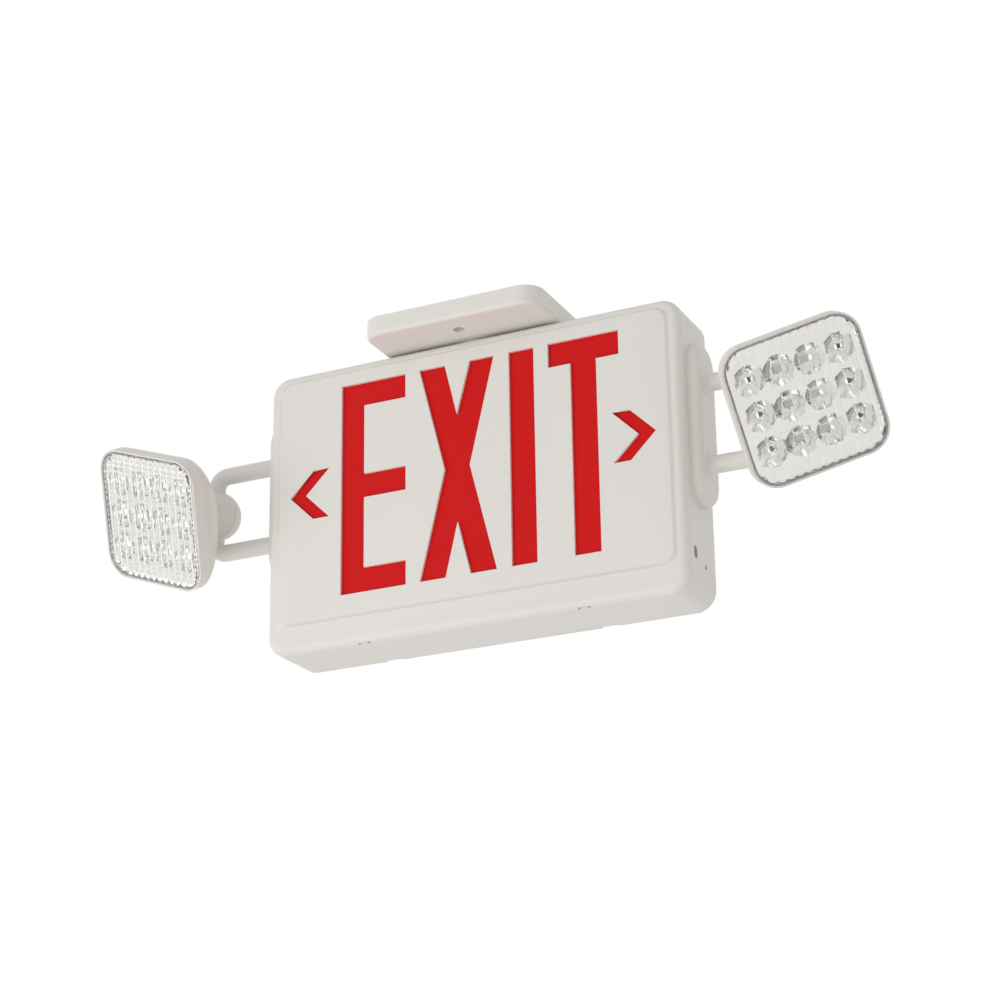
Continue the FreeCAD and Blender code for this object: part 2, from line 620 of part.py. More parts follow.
def legend_board_levels():
    """Seat height and inward direction of the two LED strips."""
    return ((TRAY_BOTTOM_Z + TRAY_WALL, 1), (TRAY_TOP_Z - TRAY_WALL, -1))


def strip_depths():
    middle = (DIFFUSER_BACK_Y + TRAY_BACK_Y - TRAY_WALL) / 2
    return middle - LED_BOARD_WIDTH / 2, middle + LED_BOARD_WIDTH / 2


def legend_led_boards():
    """Narrow boards along the tray's floor and ceiling."""
    y_from, y_to = strip_depths()
    half = LED_BOARD_LENGTH / 2
    boards = []
    for level, inward in legend_board_levels():
        top = level + inward * BOARD_THICKNESS
        boards.append(block(-half, half, y_from, y_to, min(level, top), max(level, top)))
    return group(boards)


def legend_leds():
    y_from, y_to = strip_depths()
    middle = (y_from + y_to) / 2
    half = LEGEND_LED_SIZE / 2
    pitch = LED_BOARD_LENGTH / LEGEND_LED_COUNT
    leds = []
    for level, inward in legend_board_levels():
        foot = level + inward * BOARD_THICKNESS
        top = foot + inward * LEGEND_LED_HEIGHT
        for index in range(LEGEND_LED_COUNT):
            x = (index - (LEGEND_LED_COUNT - 1) / 2) * pitch
            leds.append(block(x - half, x + half, middle - half, middle + half,
                              min(foot, top), max(foot, top)))
    return group(leds)


# ---- Back plate --------------------------------------------------------------------
def charger_corners():
    """Screw places of the charger board."""
    half_x = CHARGER_LENGTH / 2 - STANDOFF_INSET
    half_z = CHARGER_HEIGHT / 2 - STANDOFF_INSET
    return [(CHARGER_X + sx * half_x, MIDDLE_Z + sz * half_z) for sx in (-1, 1) for sz in (-1, 1)]


def keyholes():
    holes = []
    for side in (-1, 1):
        x = side * KEYHOLE_SPACING / 2
        z = MIDDLE_Z + KEYHOLE_HEIGHT
        span = (PLATE_FRONT_Y - 1, BACK_Y + 1)
        holes.append(rod(KEYHOLE_HEAD_RADIUS, Vector(x, span[0], z), Vector(x, span[1], z)))
        neck_z = z + KEYHOLE_RISE
        holes.append(rod(KEYHOLE_NECK_RADIUS, Vector(x, span[0], neck_z), Vector(x, span[1], neck_z)))
        holes.append(block(x - KEYHOLE_NECK_RADIUS, x + KEYHOLE_NECK_RADIUS, *span, z, neck_z))
    return holes


def hooks():
    """Snap hooks along the plate's top and bottom edges."""
    half_height = HOUSING_HEIGHT / 2 - HOUSING_WALL - HOOK_BARB - 0.6 - SNAP_CLEARANCE
    tip = PLATE_FRONT_Y - HOOK_LENGTH
    parts = []
    for side_x in (-1, 1):
        for side_z in (-1, 1):
            x = side_x * HOOK_OFFSET
            outer = MIDDLE_Z + side_z * half_height
            inner = outer - side_z * HOOK_THICKNESS
            barb = outer + side_z * HOOK_BARB
            span = (x - HOOK_WIDTH / 2, x + HOOK_WIDTH / 2)
            parts.append(block(*span, tip, PLATE_FRONT_Y + 1, min(outer, inner), max(outer, inner)))
            nose = (tip, tip + HOOK_LEDGE_DEPTH - SNAP_CLEARANCE)
            parts.append(block(*span, *nose, min(barb, inner), max(barb, inner)))
    return parts


def back_plate():
    """Inset rear cover with keyholes, a wiring knock-out, standoffs and snap hooks."""
    inset = 2 * (HOUSING_WALL + SNAP_CLEARANCE)
    plate = rounded_slab(HOUSING_WIDTH - inset, HOUSING_HEIGHT - inset,
                         HOUSING_CORNER - inset / 2, PLATE_FRONT_Y, BACK_Y, 0, MIDDLE_Z)
    standoffs = []
    pilots = keyholes()
    for x, z in charger_corners():
        standoffs.append(rod(STANDOFF_RADIUS, Vector(x, BOARD_BACK_Y, z), Vector(x, PLATE_FRONT_Y + 1, z)))
        pilots.append(rod(BOARD_SCREW_RADIUS, Vector(x, BOARD_BACK_Y - 1, z), Vector(x, PLATE_FRONT_Y, z)))
    outside = Vector(0, BACK_Y + 1, MIDDLE_Z)
    outer = rod(KNOCKOUT_RADIUS, Vector(0, BACK_Y - KNOCKOUT_GROOVE, MIDDLE_Z), outside)
    inner = rod(KNOCKOUT_RADIUS - KNOCKOUT_GROOVE, Vector(0, 0, MIDDLE_Z), outside)
    return merged(plate, *standoffs, *hooks()).cut(pilots + [outer.cut(inner)])


# ---- Charger -----------------------------------------------------------------------
def charger_board():
    half = CHARGER_LENGTH / 2
    board = block(CHARGER_X - half, CHARGER_X + half, BOARD_FRONT_Y, BOARD_BACK_Y,
                  MIDDLE_Z - CHARGER_HEIGHT / 2, MIDDLE_Z + CHARGER_HEIGHT / 2)
    holes = []
    for x, z in charger_corners():
        holes.append(rod(BOARD_SCREW_RADIUS + SCREW_CLEARANCE, Vector(x, BOARD_FRONT_Y - 1, z),
                         Vector(x, BOARD_BACK_Y + 1, z)))
    return board.cut(holes)


def board_screws():
    length = BOARD_THICKNESS + STANDOFF_LENGTH - 1
    screws = []
    for x, z in charger_corners():
        screws.append(screw(BOARD_SCREW_RADIUS, length, BOARD_SCREW_HEAD_RADIUS, BOARD_SCREW_RADIUS,
                            Vector(x, BOARD_FRONT_Y, z), Y_AXIS))
    return group(screws)


def core_place():
    return CHARGER_X - CHARGER_LENGTH / 4, MIDDLE_Z


def coil_block():
    x, z = core_place()
    return block(x - COIL_LENGTH / 2, x + COIL_LENGTH / 2, BOARD_FRONT_Y - COIL_DEPTH, BOARD_FRONT_Y,
                 z - COIL_HEIGHT / 2, z + COIL_HEIGHT / 2)


def transformer_core():
    """Laminated stack round the coil."""
    x, z = core_place()
    rise = (COIL_DEPTH - CORE_STACK) / 2
    stack = block(x - CORE_LENGTH / 2, x + CORE_LENGTH / 2, BOARD_FRONT_Y - rise - CORE_STACK,
                  BOARD_FRONT_Y - rise, z - CORE_HEIGHT / 2, z + CORE_HEIGHT / 2)
    return stack.cut(coil_block())


def transformer_coil():
    return coil_block()


def capacitors():
    x = CHARGER_X + CHARGER_LENGTH / 6
    cans = []
    for offset in (-1, 0, 1):
        start = Vector(x, BOARD_FRONT_Y, MIDDLE_Z + offset * CAPACITOR_RADIUS * 2.6)
        cans.append(rod(CAPACITOR_RADIUS, start, start - Y_AXIS * CAPACITOR_LENGTH))
    return group(cans)


def terminal_block():
    """Screw terminals for the incoming supply."""
    pitch = TERMINAL_LENGTH / TERMINAL_POLES
    x_from = CHARGER_X + CHARGER_LENGTH / 3 - TERMINAL_LENGTH / 2
    z = MIDDLE_Z + CHARGER_HEIGHT / 2 - TERMINAL_INSET
    face_y = BOARD_FRONT_Y - TERMINAL_DEPTH
    body = block(x_from, x_from + TERMINAL_LENGTH, face_y, BOARD_FRONT_Y, z - TERMINAL_HEIGHT / 2,
                 z + TERMINAL_HEIGHT / 2)
    wells = []
    for pole in range(TERMINAL_POLES):
        x = x_from + pitch * (pole + 0.5)
        wells.append(rod(pitch / 3.5, Vector(x, face_y - 1, z), Vector(x, face_y + TERMINAL_WELL_DEPTH, z)))
        wells.append(block(x - pitch / 3.5, x + pitch / 3.5, BOARD_FRONT_Y - TERMINAL_DEPTH * 0.45,
                           BOARD_FRONT_Y - TERMINAL_DEPTH * 0.1, z + TERMINAL_HEIGHT * 0.2,
                           z + TERMINAL_HEIGHT))
    return body.cut(wells)


# ---- Battery -----------------------------------------------------------------------
def cradle_bounds():
    length = CELL_COLUMNS * (CELL_LENGTH + SNAP_CLEARANCE) + 2 * CRADLE_WALL
    height = CELL_ROWS * (2 * CELL_RADIUS + SNAP_CLEARANCE) + 2 * CRADLE_WALL
    return length, height


def battery_cradle():
    """Open trough on the back plate that holds the cells."""
    length, height = cradle_bounds()
    depth = CELL_RADIUS * 1.3 + CRADLE_WALL
    trough = block(BATTERY_X - length / 2, BATTERY_X + length / 2, PLATE_FRONT_Y - depth, PLATE_FRONT_Y,
                   MIDDLE_Z - height / 2, MIDDLE_Z + height / 2)
    inside = block(BATTERY_X - length / 2 + CRADLE_WALL, BATTERY_X + length / 2 - CRADLE_WALL,
                   PLATE_FRONT_Y - depth - 1, PLATE_FRONT_Y - CRADLE_WALL,
                   MIDDLE_Z - height / 2 + CRADLE_WALL, MIDDLE_Z + height / 2 - CRADLE_WALL)
    return trough.cut(inside)


def battery_cells():
    y = PLATE_FRONT_Y - CRADLE_WALL - CELL_RADIUS
    cells = []
    for column in range(CELL_COLUMNS):
        x = BATTERY_X + (column - (CELL_COLUMNS - 1) / 2) * (CELL_LENGTH + SNAP_CLEARANCE) - CELL_LENGTH / 2
        for row in range(CELL_ROWS):
            z = MIDDLE_Z + (row - (CELL_ROWS - 1) / 2) * (2 * CELL_RADIUS + SNAP_CLEARANCE)
            cells.append(rod(CELL_RADIUS, Vector(x, y, z), Vector(x + CELL_LENGTH, y, z)))
    return group(cells)


def battery_straps():
    """Bands round the cradle and cells."""
    _, height = cradle_bounds()
    depth = CRADLE_WALL + 2 * CELL_RADIUS
    straps = []
    for side in (-1, 1):
        x = BATTERY_X + side * CELL_LENGTH / 2
        outer = block(x - STRAP_WIDTH / 2, x + STRAP_WIDTH / 2, PLATE_FRONT_Y - depth - STRAP_THICKNESS,
                      PLATE_FRONT_Y, MIDDLE_Z - height / 2 - STRAP_THICKNESS,
                      MIDDLE_Z + height / 2 + STRAP_THICKNESS)
        inner = block(x - STRAP_WIDTH, x + STRAP_WIDTH, PLATE_FRONT_Y - depth, PLATE_FRONT_Y + 1,
                      MIDDLE_Z - height / 2, MIDDLE_Z + height / 2)
        straps.append(outer.cut(inner))
    return group(straps)


# ---- Test button and status light --------------------------------------------------
def test_board_corners():
    middle_y = (BUTTON_Y + STATUS_Y) / 2
    middle_z = (BUTTON_Z + STATUS_Z) / 2
    half_y = TEST_BOARD_LENGTH / 2 - STANDOFF_INSET / 2
    half_z = TEST_BOARD_HEIGHT / 2 - STANDOFF_INSET / 2
    return [(middle_y - half_y, middle_z - half_z), (middle_y + half_y, middle_z + half_z)]


def test_board():
    middle_y = (BUTTON_Y + STATUS_Y) / 2
    middle_z = (BUTTON_Z + STATUS_Z) / 2
    return block(TEST_BOARD_X, TEST_BOARD_FACE_X, middle_y - TEST_BOARD_LENGTH / 2,
                 middle_y + TEST_BOARD_LENGTH / 2, middle_z - TEST_BOARD_HEIGHT / 2,
                 middle_z + TEST_BOARD_HEIGHT / 2)


def test_button():
    """Sprung button with a flange that stops it in the wall."""
    cap = stadium(BUTTON_WIDTH, BUTTON_HEIGHT, INNER_X - 0.1, BUTTON_FACE_X, BUTTON_Y, BUTTON_Z)
    flange = stadium(BUTTON_WIDTH + 2 * BUTTON_FLANGE, BUTTON_HEIGHT + 2 * BUTTON_FLANGE,
                     BUTTON_FLANGE_X, INNER_X, BUTTON_Y, BUTTON_Z)
    stem_end = SWITCH_TIP_X + BUTTON_TRAVEL + 0.1
    plunger = rod(BUTTON_STEM_RADIUS, Vector(stem_end, BUTTON_Y, BUTTON_Z),
                  Vector(INNER_X, BUTTON_Y, BUTTON_Z))
    return merged(cap, flange, plunger)


def test_switch():
    """Small push switch on the test board."""
    half = SWITCH_SIZE / 2
    body_top = SWITCH_TIP_X - 0.9
    body = block(TEST_BOARD_FACE_X, body_top, BUTTON_Y - half, BUTTON_Y + half,
                 BUTTON_Z - half, BUTTON_Z + half)
    tip = rod(BUTTON_STEM_RADIUS, Vector(body_top - 0.1, BUTTON_Y, BUTTON_Z),
              Vector(SWITCH_TIP_X, BUTTON_Y, BUTTON_Z))
    return merged(body, tip)


def status_light():
    """Round-nosed light guide from the test board to the wall's outer face."""
    outside = Vector(SIDE_X, STATUS_Y, STATUS_Z)
    pipe = rod(STATUS_RADIUS, Vector(TEST_BOARD_FACE_X, STATUS_Y, STATUS_Z), outside)
    shoulder = rod(STATUS_RADIUS + 0.8, Vector(INNER_X - 1, STATUS_Y, STATUS_Z),
                   Vector(INNER_X, STATUS_Y, STATUS_Z))
    guide = merged(pipe, shoulder)
    return guide.makeFillet(STATUS_RADIUS * 0.6, edges_at(guide, lambda p: p.x > SIDE_X - 0.01))


# ---- Side arms (right-hand side; the left is its mirror) ---------------------------
def arm_tube(radius):
    """A round bar out from the plate, down through the pivot bar and back."""
    half = ARM_TUBE_SPACING / 2
    bend_x = BAR_X - ARM_BEND_RADIUS
    pieces = []
    for side in (-1, 1):
        level = ARM_Z + side * half
        turn = Vector(bend_x, ARM_Y, level - side * ARM_BEND_RADIUS)
        end = Vector(bend_x, ARM_Y, level)
        pieces.append(rod(radius, Vector(SIDE_X, ARM_Y, level), end))
        section = Part.Face(Part.Wire([Part.makeCircle(radius, end, X_AXIS)]))
        pieces.append(section.revolve(turn, Y_AXIS, side * 90))
    straight = half - ARM_BEND_RADIUS
    bar = rod(radius, Vector(BAR_X, ARM_Y, ARM_Z - straight), Vector(BAR_X, ARM_Y, ARM_Z + straight))
    return merged(bar, *pieces)


def side_arm():
    """Moulded wall plate with its U-shaped tube."""
    outer_x = SIDE_X + ARM_PLATE_THICKNESS
    plate = stadium(ARM_PLATE_WIDTH, ARM_PLATE_HEIGHT, SIDE_X, outer_x, ARM_Y, ARM_Z).removeSplitter()
    rim = edges_at(plate, lambda p: p.x > outer_x - 0.01)
    plate = plate.makeFillet(ARM_PLATE_EDGE, rim)
    arm = merged(plate, arm_tube(ARM_TUBE_RADIUS))

    def at_root(point):
        level = abs(abs(point.z - ARM_Z) - ARM_TUBE_SPACING / 2)
        return abs(point.x - outer_x) < 0.01 and level < ARM_TUBE_RADIUS and abs(point.y - ARM_Y) < 1
    arm = arm.makeFillet(ARM_ROOT_RADIUS, edges_at(arm, at_root))
    holes = [arm_tube(ARM_BORE_RADIUS)]
    for height in arm_screw_heights():
        start = Vector(SIDE_X - 1, ARM_Y, height)
        holes.append(rod(ARM_SCREW_RADIUS, start, start + X_AXIS * (ARM_SCREW_LENGTH - HOUSING_WALL + 1)))
    return arm.cut(holes)


def arm_screws():
    screws = []
    for height in arm_screw_heights():
        screws.append(screw(ARM_SCREW_RADIUS, ARM_SCREW_LENGTH - 0.5, ARM_SCREW_HEAD_RADIUS,
                            ARM_SCREW_HEAD_HEIGHT, Vector(INNER_X, ARM_Y, height), X_AXIS))
    return group(screws)


# ---- Knuckle, in its own frame: bar along Z, stem along -Y -------------------------
def knuckle_cuts():
    """Bar bore and screw passages shared by both halves."""
    reach = KNUCKLE_RADIUS + 1
    cuts = [rod(ARM_TUBE_RADIUS + RUNNING_CLEARANCE, Vector(0, 0, -reach), Vector(0, 0, reach))]
    for side in (-1, 1):
        x = side * KNUCKLE_SCREW_OFFSET
        seat = knuckle_seat_y()
        cuts.append(rod(KNUCKLE_SCREW_RADIUS, Vector(x, -KNUCKLE_SCREW_DEPTH, 0), Vector(x, seat, 0)))
        cuts.append(rod(KNUCKLE_SCREW_HEAD_RADIUS + SCREW_CLEARANCE, Vector(x, seat, 0), Vector(x, reach, 0)))
    return cuts


def knuckle_seat_y():
    """Depth of the screw heads in the rear half."""
    return math.sqrt(KNUCKLE_RADIUS ** 2 - KNUCKLE_SCREW_OFFSET ** 2) / 2


def knuckle_front():
    """Front clamp half, bored for the swivel bolt."""
    reach = KNUCKLE_RADIUS + 1
    ball = Part.makeSphere(KNUCKLE_RADIUS)
    half = ball.common(block(-reach, reach, -reach, -KNUCKLE_SPLIT / 2, -reach, reach))
    neck_end = SWIVEL_BALL_FLAT - SWIVEL_OFFSET
    neck = rod(SWIVEL_STEM_RADIUS, Vector(0, neck_end, 0), Vector(0, -KNUCKLE_RADIUS + 2, 0))
    return merged(half, neck).cut(knuckle_cuts() + [swivel_bolt_hole()])


def swivel_bolt_radius():
    return SWIVEL_STEM_RADIUS * 0.55


def swivel_bolt_hole():
    return rod(swivel_bolt_radius(), Vector(0, -SWIVEL_OFFSET, 0), Vector(0, -ARM_TUBE_RADIUS - 2, 0))


def knuckle_rear():
    reach = KNUCKLE_RADIUS + 1
    ball = Part.makeSphere(KNUCKLE_RADIUS)
    half = ball.common(block(-reach, reach, KNUCKLE_SPLIT / 2, reach, -reach, reach))
    return half.cut(knuckle_cuts())


def knuckle_screws():
    seat = knuckle_seat_y()
    screws = []
    for side in (-1, 1):
        screws.append(screw(KNUCKLE_SCREW_RADIUS, seat + KNUCKLE_SCREW_DEPTH - 0.5, KNUCKLE_SCREW_HEAD_RADIUS,
                            KNUCKLE_SCREW_RADIUS, Vector(side * KNUCKLE_SCREW_OFFSET, seat, 0), -Y_AXIS))
    return group(screws)


def swivel_bolt():
    """Shoulder bolt that carries the swivel ball on the knuckle."""
    seat = Vector(0, -SWIVEL_OFFSET - SWIVEL_BALL_FLAT + SWIVEL_BOLT_HEAD_HEIGHT, 0)
    end_y = -ARM_TUBE_RADIUS - 2.5
    return screw(swivel_bolt_radius(), end_y - seat.y, SWIVEL_BOLT_HEAD_RADIUS, SWIVEL_BOLT_HEAD_HEIGHT,
                 seat, Y_AXIS)


def swivel_ball():
    """Small ball on the bolt, with both poles cut flat and a stub pin on each side."""
    centre = Vector(0, -SWIVEL_OFFSET, 0)
    flat = SWIVEL_BALL_FLAT - 0.2
    ball = Part.makeSphere(SWIVEL_BALL_RADIUS, centre)
    span = SWIVEL_BALL_RADIUS + 1
    ball = ball.common(block(-span, span, centre.y - flat, centre.y + flat, -span, span))
    pins = rod(TRUNNION_RADIUS, centre - X_AXIS * TRUNNION_REACH, centre + X_AXIS * TRUNNION_REACH)
    bore = rod(swivel_bolt_radius() + RUNNING_CLEARANCE, centre - Y_AXIS * span, centre + Y_AXIS * span)
    head = Vector(0, centre.y - SWIVEL_BALL_FLAT + SWIVEL_BOLT_HEAD_HEIGHT + 0.1, 0)
    pocket = rod(SWIVEL_BOLT_HEAD_RADIUS + SLIDE_CLEARANCE, head - Y_AXIS * span, head)
    return merged(ball, pins).cut([bore, pocket])


# ---- Lamp head, in its own frame: swivel ball at the origin, lens facing -Y ---------
def lamp_solid(front_y, inset):
    """Lamp's bowl as one loft from front_y to its flat rear, shrunk all round by inset."""
    wires = [rounded_wire(LAMP_SIZE - 2 * inset, LAMP_SIZE - 2 * inset, LAMP_CORNER - inset, front_y)]
    start = RIM_Y + LAMP_STRAIGHT
    length = LAMP_DEPTH - LAMP_STRAIGHT - LAMP_REAR_EDGE - inset
    for band in range(LAMP_BANDS + 1):
        share = band / LAMP_BANDS
        size = LAMP_SIZE - 2 * (LAMP_TAPER * share ** LAMP_TAPER_POWER + inset)
        corner = LAMP_CORNER + LAMP_CORNER_GROWTH * share - inset
        wires.append(rounded_wire(size, size, corner, start + length * share))
    rear = rounded_wire(size - 2 * LAMP_REAR_EDGE, size - 2 * LAMP_REAR_EDGE, corner - LAMP_REAR_EDGE,
                        start + length + LAMP_REAR_EDGE)
    return Part.makeLoft(wires + [rear], True, True)


def lamp_shell():
    """Bowl with a straight rim, a lens seat and the rear half of the ball socket."""
    outer = lamp_solid(RIM_Y, 0)
    inner = lamp_solid(RIM_Y - 1, LAMP_WALL)
    mouth_y = math.sqrt(SOCKET_RADIUS ** 2 - SOCKET_MOUTH_RADIUS ** 2)
    socket = rod(SOCKET_OUTER_RADIUS, Vector(0, SOCKET_SEAT_Y, 0), Vector(0, mouth_y, 0))
    lens_seat = rounded_slab(LENS_SIZE + 0.2, LENS_SIZE + 0.2, LENS_CORNER, RIM_Y - 1, LENS_BACK_Y)
    mouth = rod(SOCKET_MOUTH_RADIUS, Vector(0, -1, 0), Vector(0, mouth_y + 5, 0))
    pilots = []
    for place in retainer_places():
        pilots.append(rod(RETAINER_SCREW_RADIUS, place - Y_AXIS, place + Y_AXIS * RETAINER_SCREW_BITE))
    shell = merged(outer.cut(inner), socket)
    return shell.cut([lens_seat, mouth] + socket_cuts() + pilots)


def socket_cuts():
    """Ball seat and the bore for the stub pins, shared by both halves of the socket."""
    reach = X_AXIS * (TRUNNION_REACH + SNAP_CLEARANCE)
    return [Part.makeSphere(SOCKET_RADIUS), rod(TRUNNION_RADIUS + RUNNING_CLEARANCE, -reach, reach)]


def retainer_places():
    """Screw places of the socket retainer, on its seating plane."""
    radius = SOCKET_OUTER_RADIUS + RETAINER_SCREW_HEAD_RADIUS + SNAP_CLEARANCE
    return [Vector(side * radius, SOCKET_SEAT_Y, 0) for side in (-1, 1)]


def socket_retainer():
    """Front half of the ball socket, screwed down inside the lamp."""
    seat = Vector(0, SOCKET_SEAT_Y, 0)
    ring = rod(SOCKET_OUTER_RADIUS, seat - Y_AXIS * RETAINER_DEPTH, seat)
    holes = socket_cuts()
    ears = []
    for place in retainer_places():
        foot = place - Y_AXIS * RETAINER_FLANGE_DEPTH
        ears.append(rod(RETAINER_EAR_WIDTH / 2, foot, place))
        ears.append(block(min(0, place.x), max(0, place.x), foot.y, place.y,
                          -RETAINER_EAR_WIDTH / 2, RETAINER_EAR_WIDTH / 2))
        holes.append(rod(RETAINER_SCREW_RADIUS + SCREW_CLEARANCE, foot - Y_AXIS, place + Y_AXIS))
    return merged(ring, *ears).cut(holes)


def retainer_screws():
    screws = []
    for place in retainer_places():
        seat = place - Y_AXIS * RETAINER_FLANGE_DEPTH
        screws.append(screw(RETAINER_SCREW_RADIUS, RETAINER_FLANGE_DEPTH + RETAINER_SCREW_BITE - 0.2,
                            RETAINER_SCREW_HEAD_RADIUS, RETAINER_SCREW_RADIUS, seat, Y_AXIS))
    return group(screws)


def lamp_lens():
    """Clear cover with a stepped rim that drops into the shell."""
    front_y = RIM_Y - LENS_RISE
    cover = rounded_slab(LENS_SIZE, LENS_SIZE, LENS_CORNER, front_y, LENS_BACK_Y)
    cover = cover.makeFillet(LENS_EDGE_RADIUS, edges_at(cover, lambda p: p.y < front_y + 0.01))
    inner = LENS_SIZE - 2 * LENS_WALL
    hollow = rounded_slab(inner, inner, LENS_CORNER - LENS_WALL, front_y + LENS_WALL, LENS_BACK_Y + 1)
    return cover.cut(hollow)


def cup_centres():
    places = []
    for column in range(CUP_COLUMNS):
        x = (column - (CUP_COLUMNS - 1) / 2) * CUP_PITCH_X
        for row in range(CUP_ROWS):
            places.append((x, (row - (CUP_ROWS - 1) / 2) * CUP_PITCH_Z))
    return places


def lamp_reflector():
    """Plate of conical cups, one round each light source."""
    plate = rounded_slab(REFLECTOR_SIZE, REFLECTOR_SIZE, REFLECTOR_CORNER, LENS_BACK_Y, REFLECTOR_BACK_Y)
    cups = []
    hollows = []
    for x, z in cup_centres():
        start = Vector(x, LENS_BACK_Y, z)
        cups.append(Part.makeCone(CUP_MOUTH_RADIUS + CUP_WALL, CUP_FLOOR_RADIUS + CUP_WALL, CUP_DEPTH,
                                  start, Y_AXIS))
        hollows.append(Part.makeCone(CUP_MOUTH_RADIUS, CUP_FLOOR_RADIUS, CUP_DEPTH, start, Y_AXIS))
    return merged(plate, *cups).cut(hollows)


def lamp_board():
    """Aluminium board behind the cups."""
    half_x, half_z = LAMP_BOARD_WIDTH / 2, LAMP_BOARD_HEIGHT / 2
    return block(-half_x, half_x, CUP_FLOOR_Y, CUP_FLOOR_Y + BOARD_THICKNESS, -half_z, half_z)


def lamp_leds():
    half = LAMP_LED_SIZE / 2
    leds = []
    for x, z in cup_centres():
        leds.append(block(x - half, x + half, CUP_FLOOR_Y - LAMP_LED_HEIGHT, CUP_FLOOR_Y, z - half, z + half))
    return group(leds)


# ---- Placing and writing -----------------------------------------------------------
def placed_knuckle(shape, side, pan):
    """Turn a knuckle piece about the bar and set it on the arm."""
    moved = shape.copy()
    moved.Placement = FreeCAD.Placement(Vector(side * BAR_X, ARM_Y, ARM_Z), Rotation(Z_AXIS, pan))
    return moved


def placed_swivel(shape, side, pan):
    """Turn a piece about the bar and roll it about the stem."""
    moved = shape.copy()
    knuckle = FreeCAD.Placement(Vector(side * BAR_X, ARM_Y, ARM_Z), Rotation(Z_AXIS, pan))
    moved.Placement = knuckle * FreeCAD.Placement(Vector(0, 0, 0), Rotation(Y_AXIS, -side * LAMP_ROLL))
    return moved


def placed_lamp(shape, side, pan):
    """Aim a lamp piece: pan about the bar, roll about the stem, then tilt."""
    knuckle = FreeCAD.Placement(Vector(side * BAR_X, ARM_Y, ARM_Z), Rotation(Z_AXIS, pan))
    roll = FreeCAD.Placement(Vector(0, -SWIVEL_OFFSET, 0), Rotation(Y_AXIS, -side * LAMP_ROLL))
    tilt = FreeCAD.Placement(Vector(0, 0, 0), Rotation(X_AXIS, LAMP_TILT))
    moved = shape.copy()
    moved.Placement = knuckle * roll * tilt
    return moved


def build():
    """Every node's shape by name."""
    nodes = {
        "canopy": canopy(),
        "crossbar": crossbar(),
        "canopy_screws": canopy_screws(),
        "canopy_stem": stem(),
        "stem_locknuts": locknuts(),
        "front_housing": front_housing(),
        "legend_diffuser": legend_diffuser(),
        "light_tray": light_tray(),
        "tray_screws": tray_screws(),
        "legend_led_boards": legend_led_boards(),
        "legend_leds": legend_leds(),
        "back_plate": back_plate(),
        "charger_board": charger_board(),
        "board_screws": board_screws(),
        "transformer_core": transformer_core(),
        "transformer_coil": transformer_coil(),
        "capacitors": capacitors(),
        "terminal_block": terminal_block(),
        "battery_cradle": battery_cradle(),
        "battery_cells": battery_cells(),
        "battery_straps": battery_straps(),
        "test_board": test_board(),
        "test_button": test_button(),
        "test_switch": test_switch(),
        "status_light": status_light(),
    }
    arm_pieces = {"arm": side_arm(), "arm_screws": arm_screws()}
    knuckle_pieces = {
        "knuckle_front": knuckle_front(),
        "knuckle_rear": knuckle_rear(),
        "knuckle_screws": knuckle_screws(),
        "swivel_bolt": swivel_bolt(),
    }
    lamp_pieces = {
        "lamp_shell": lamp_shell(),
        "socket_retainer": socket_retainer(),
        "retainer_screws": retainer_screws(),
        "lamp_lens": lamp_lens(),
        "lamp_reflector": lamp_reflector(),
        "lamp_board": lamp_board(),
        "lamp_leds": lamp_leds(),
    }
    for name, side, pan in (("left", -1, PAN_LEFT), ("right", 1, PAN_RIGHT)):
        for piece, shape in arm_pieces.items():
            nodes[f"{name}_{piece}"] = shape if side > 0 else shape.mirror(Vector(0, 0, 0), X_AXIS)
        for piece, shape in knuckle_pieces.items():
            nodes[f"{name}_{piece}"] = placed_knuckle(shape, side, pan)
        nodes[f"{name}_swivel_ball"] = placed_swivel(swivel_ball(), side, pan)
        for piece, shape in lamp_pieces.items():
            nodes[f"{name}_{piece}"] = placed_lamp(shape, side, pan)
    return nodes


os.makedirs("parts", exist_ok=True)
for node, shape in build().items():
    shape.exportStep(f"parts/{node}.step")
    print(node, len(shape.Solids), round(shape.Volume, 1), shape.isValid())
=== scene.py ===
"""Looks of the emergency exit light: legend cut-outs, lamp heads, lenses and finishes."""
import json
import math

import bmesh
import bpy
from bpy.props import FloatProperty, FloatVectorProperty, IntProperty, PointerProperty
from mathutils import Matrix, Vector


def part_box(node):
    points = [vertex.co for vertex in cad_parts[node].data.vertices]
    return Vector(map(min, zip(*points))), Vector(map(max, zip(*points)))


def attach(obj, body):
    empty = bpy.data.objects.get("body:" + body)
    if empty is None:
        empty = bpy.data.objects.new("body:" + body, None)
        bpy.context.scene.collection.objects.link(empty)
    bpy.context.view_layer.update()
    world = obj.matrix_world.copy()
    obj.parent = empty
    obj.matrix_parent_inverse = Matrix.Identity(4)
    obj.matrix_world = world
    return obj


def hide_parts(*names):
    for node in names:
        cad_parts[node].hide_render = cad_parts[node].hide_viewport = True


bl_info = {
    "name": "Emergency Exit Light",
    "version": (1, 0, 0),
    "blender": (4, 5, 0),
    "location": "View3D > Sidebar > Exit Light",
    "description": "Builds the looks of an exit sign with two swivel lamp heads",
    "category": "Object",
}

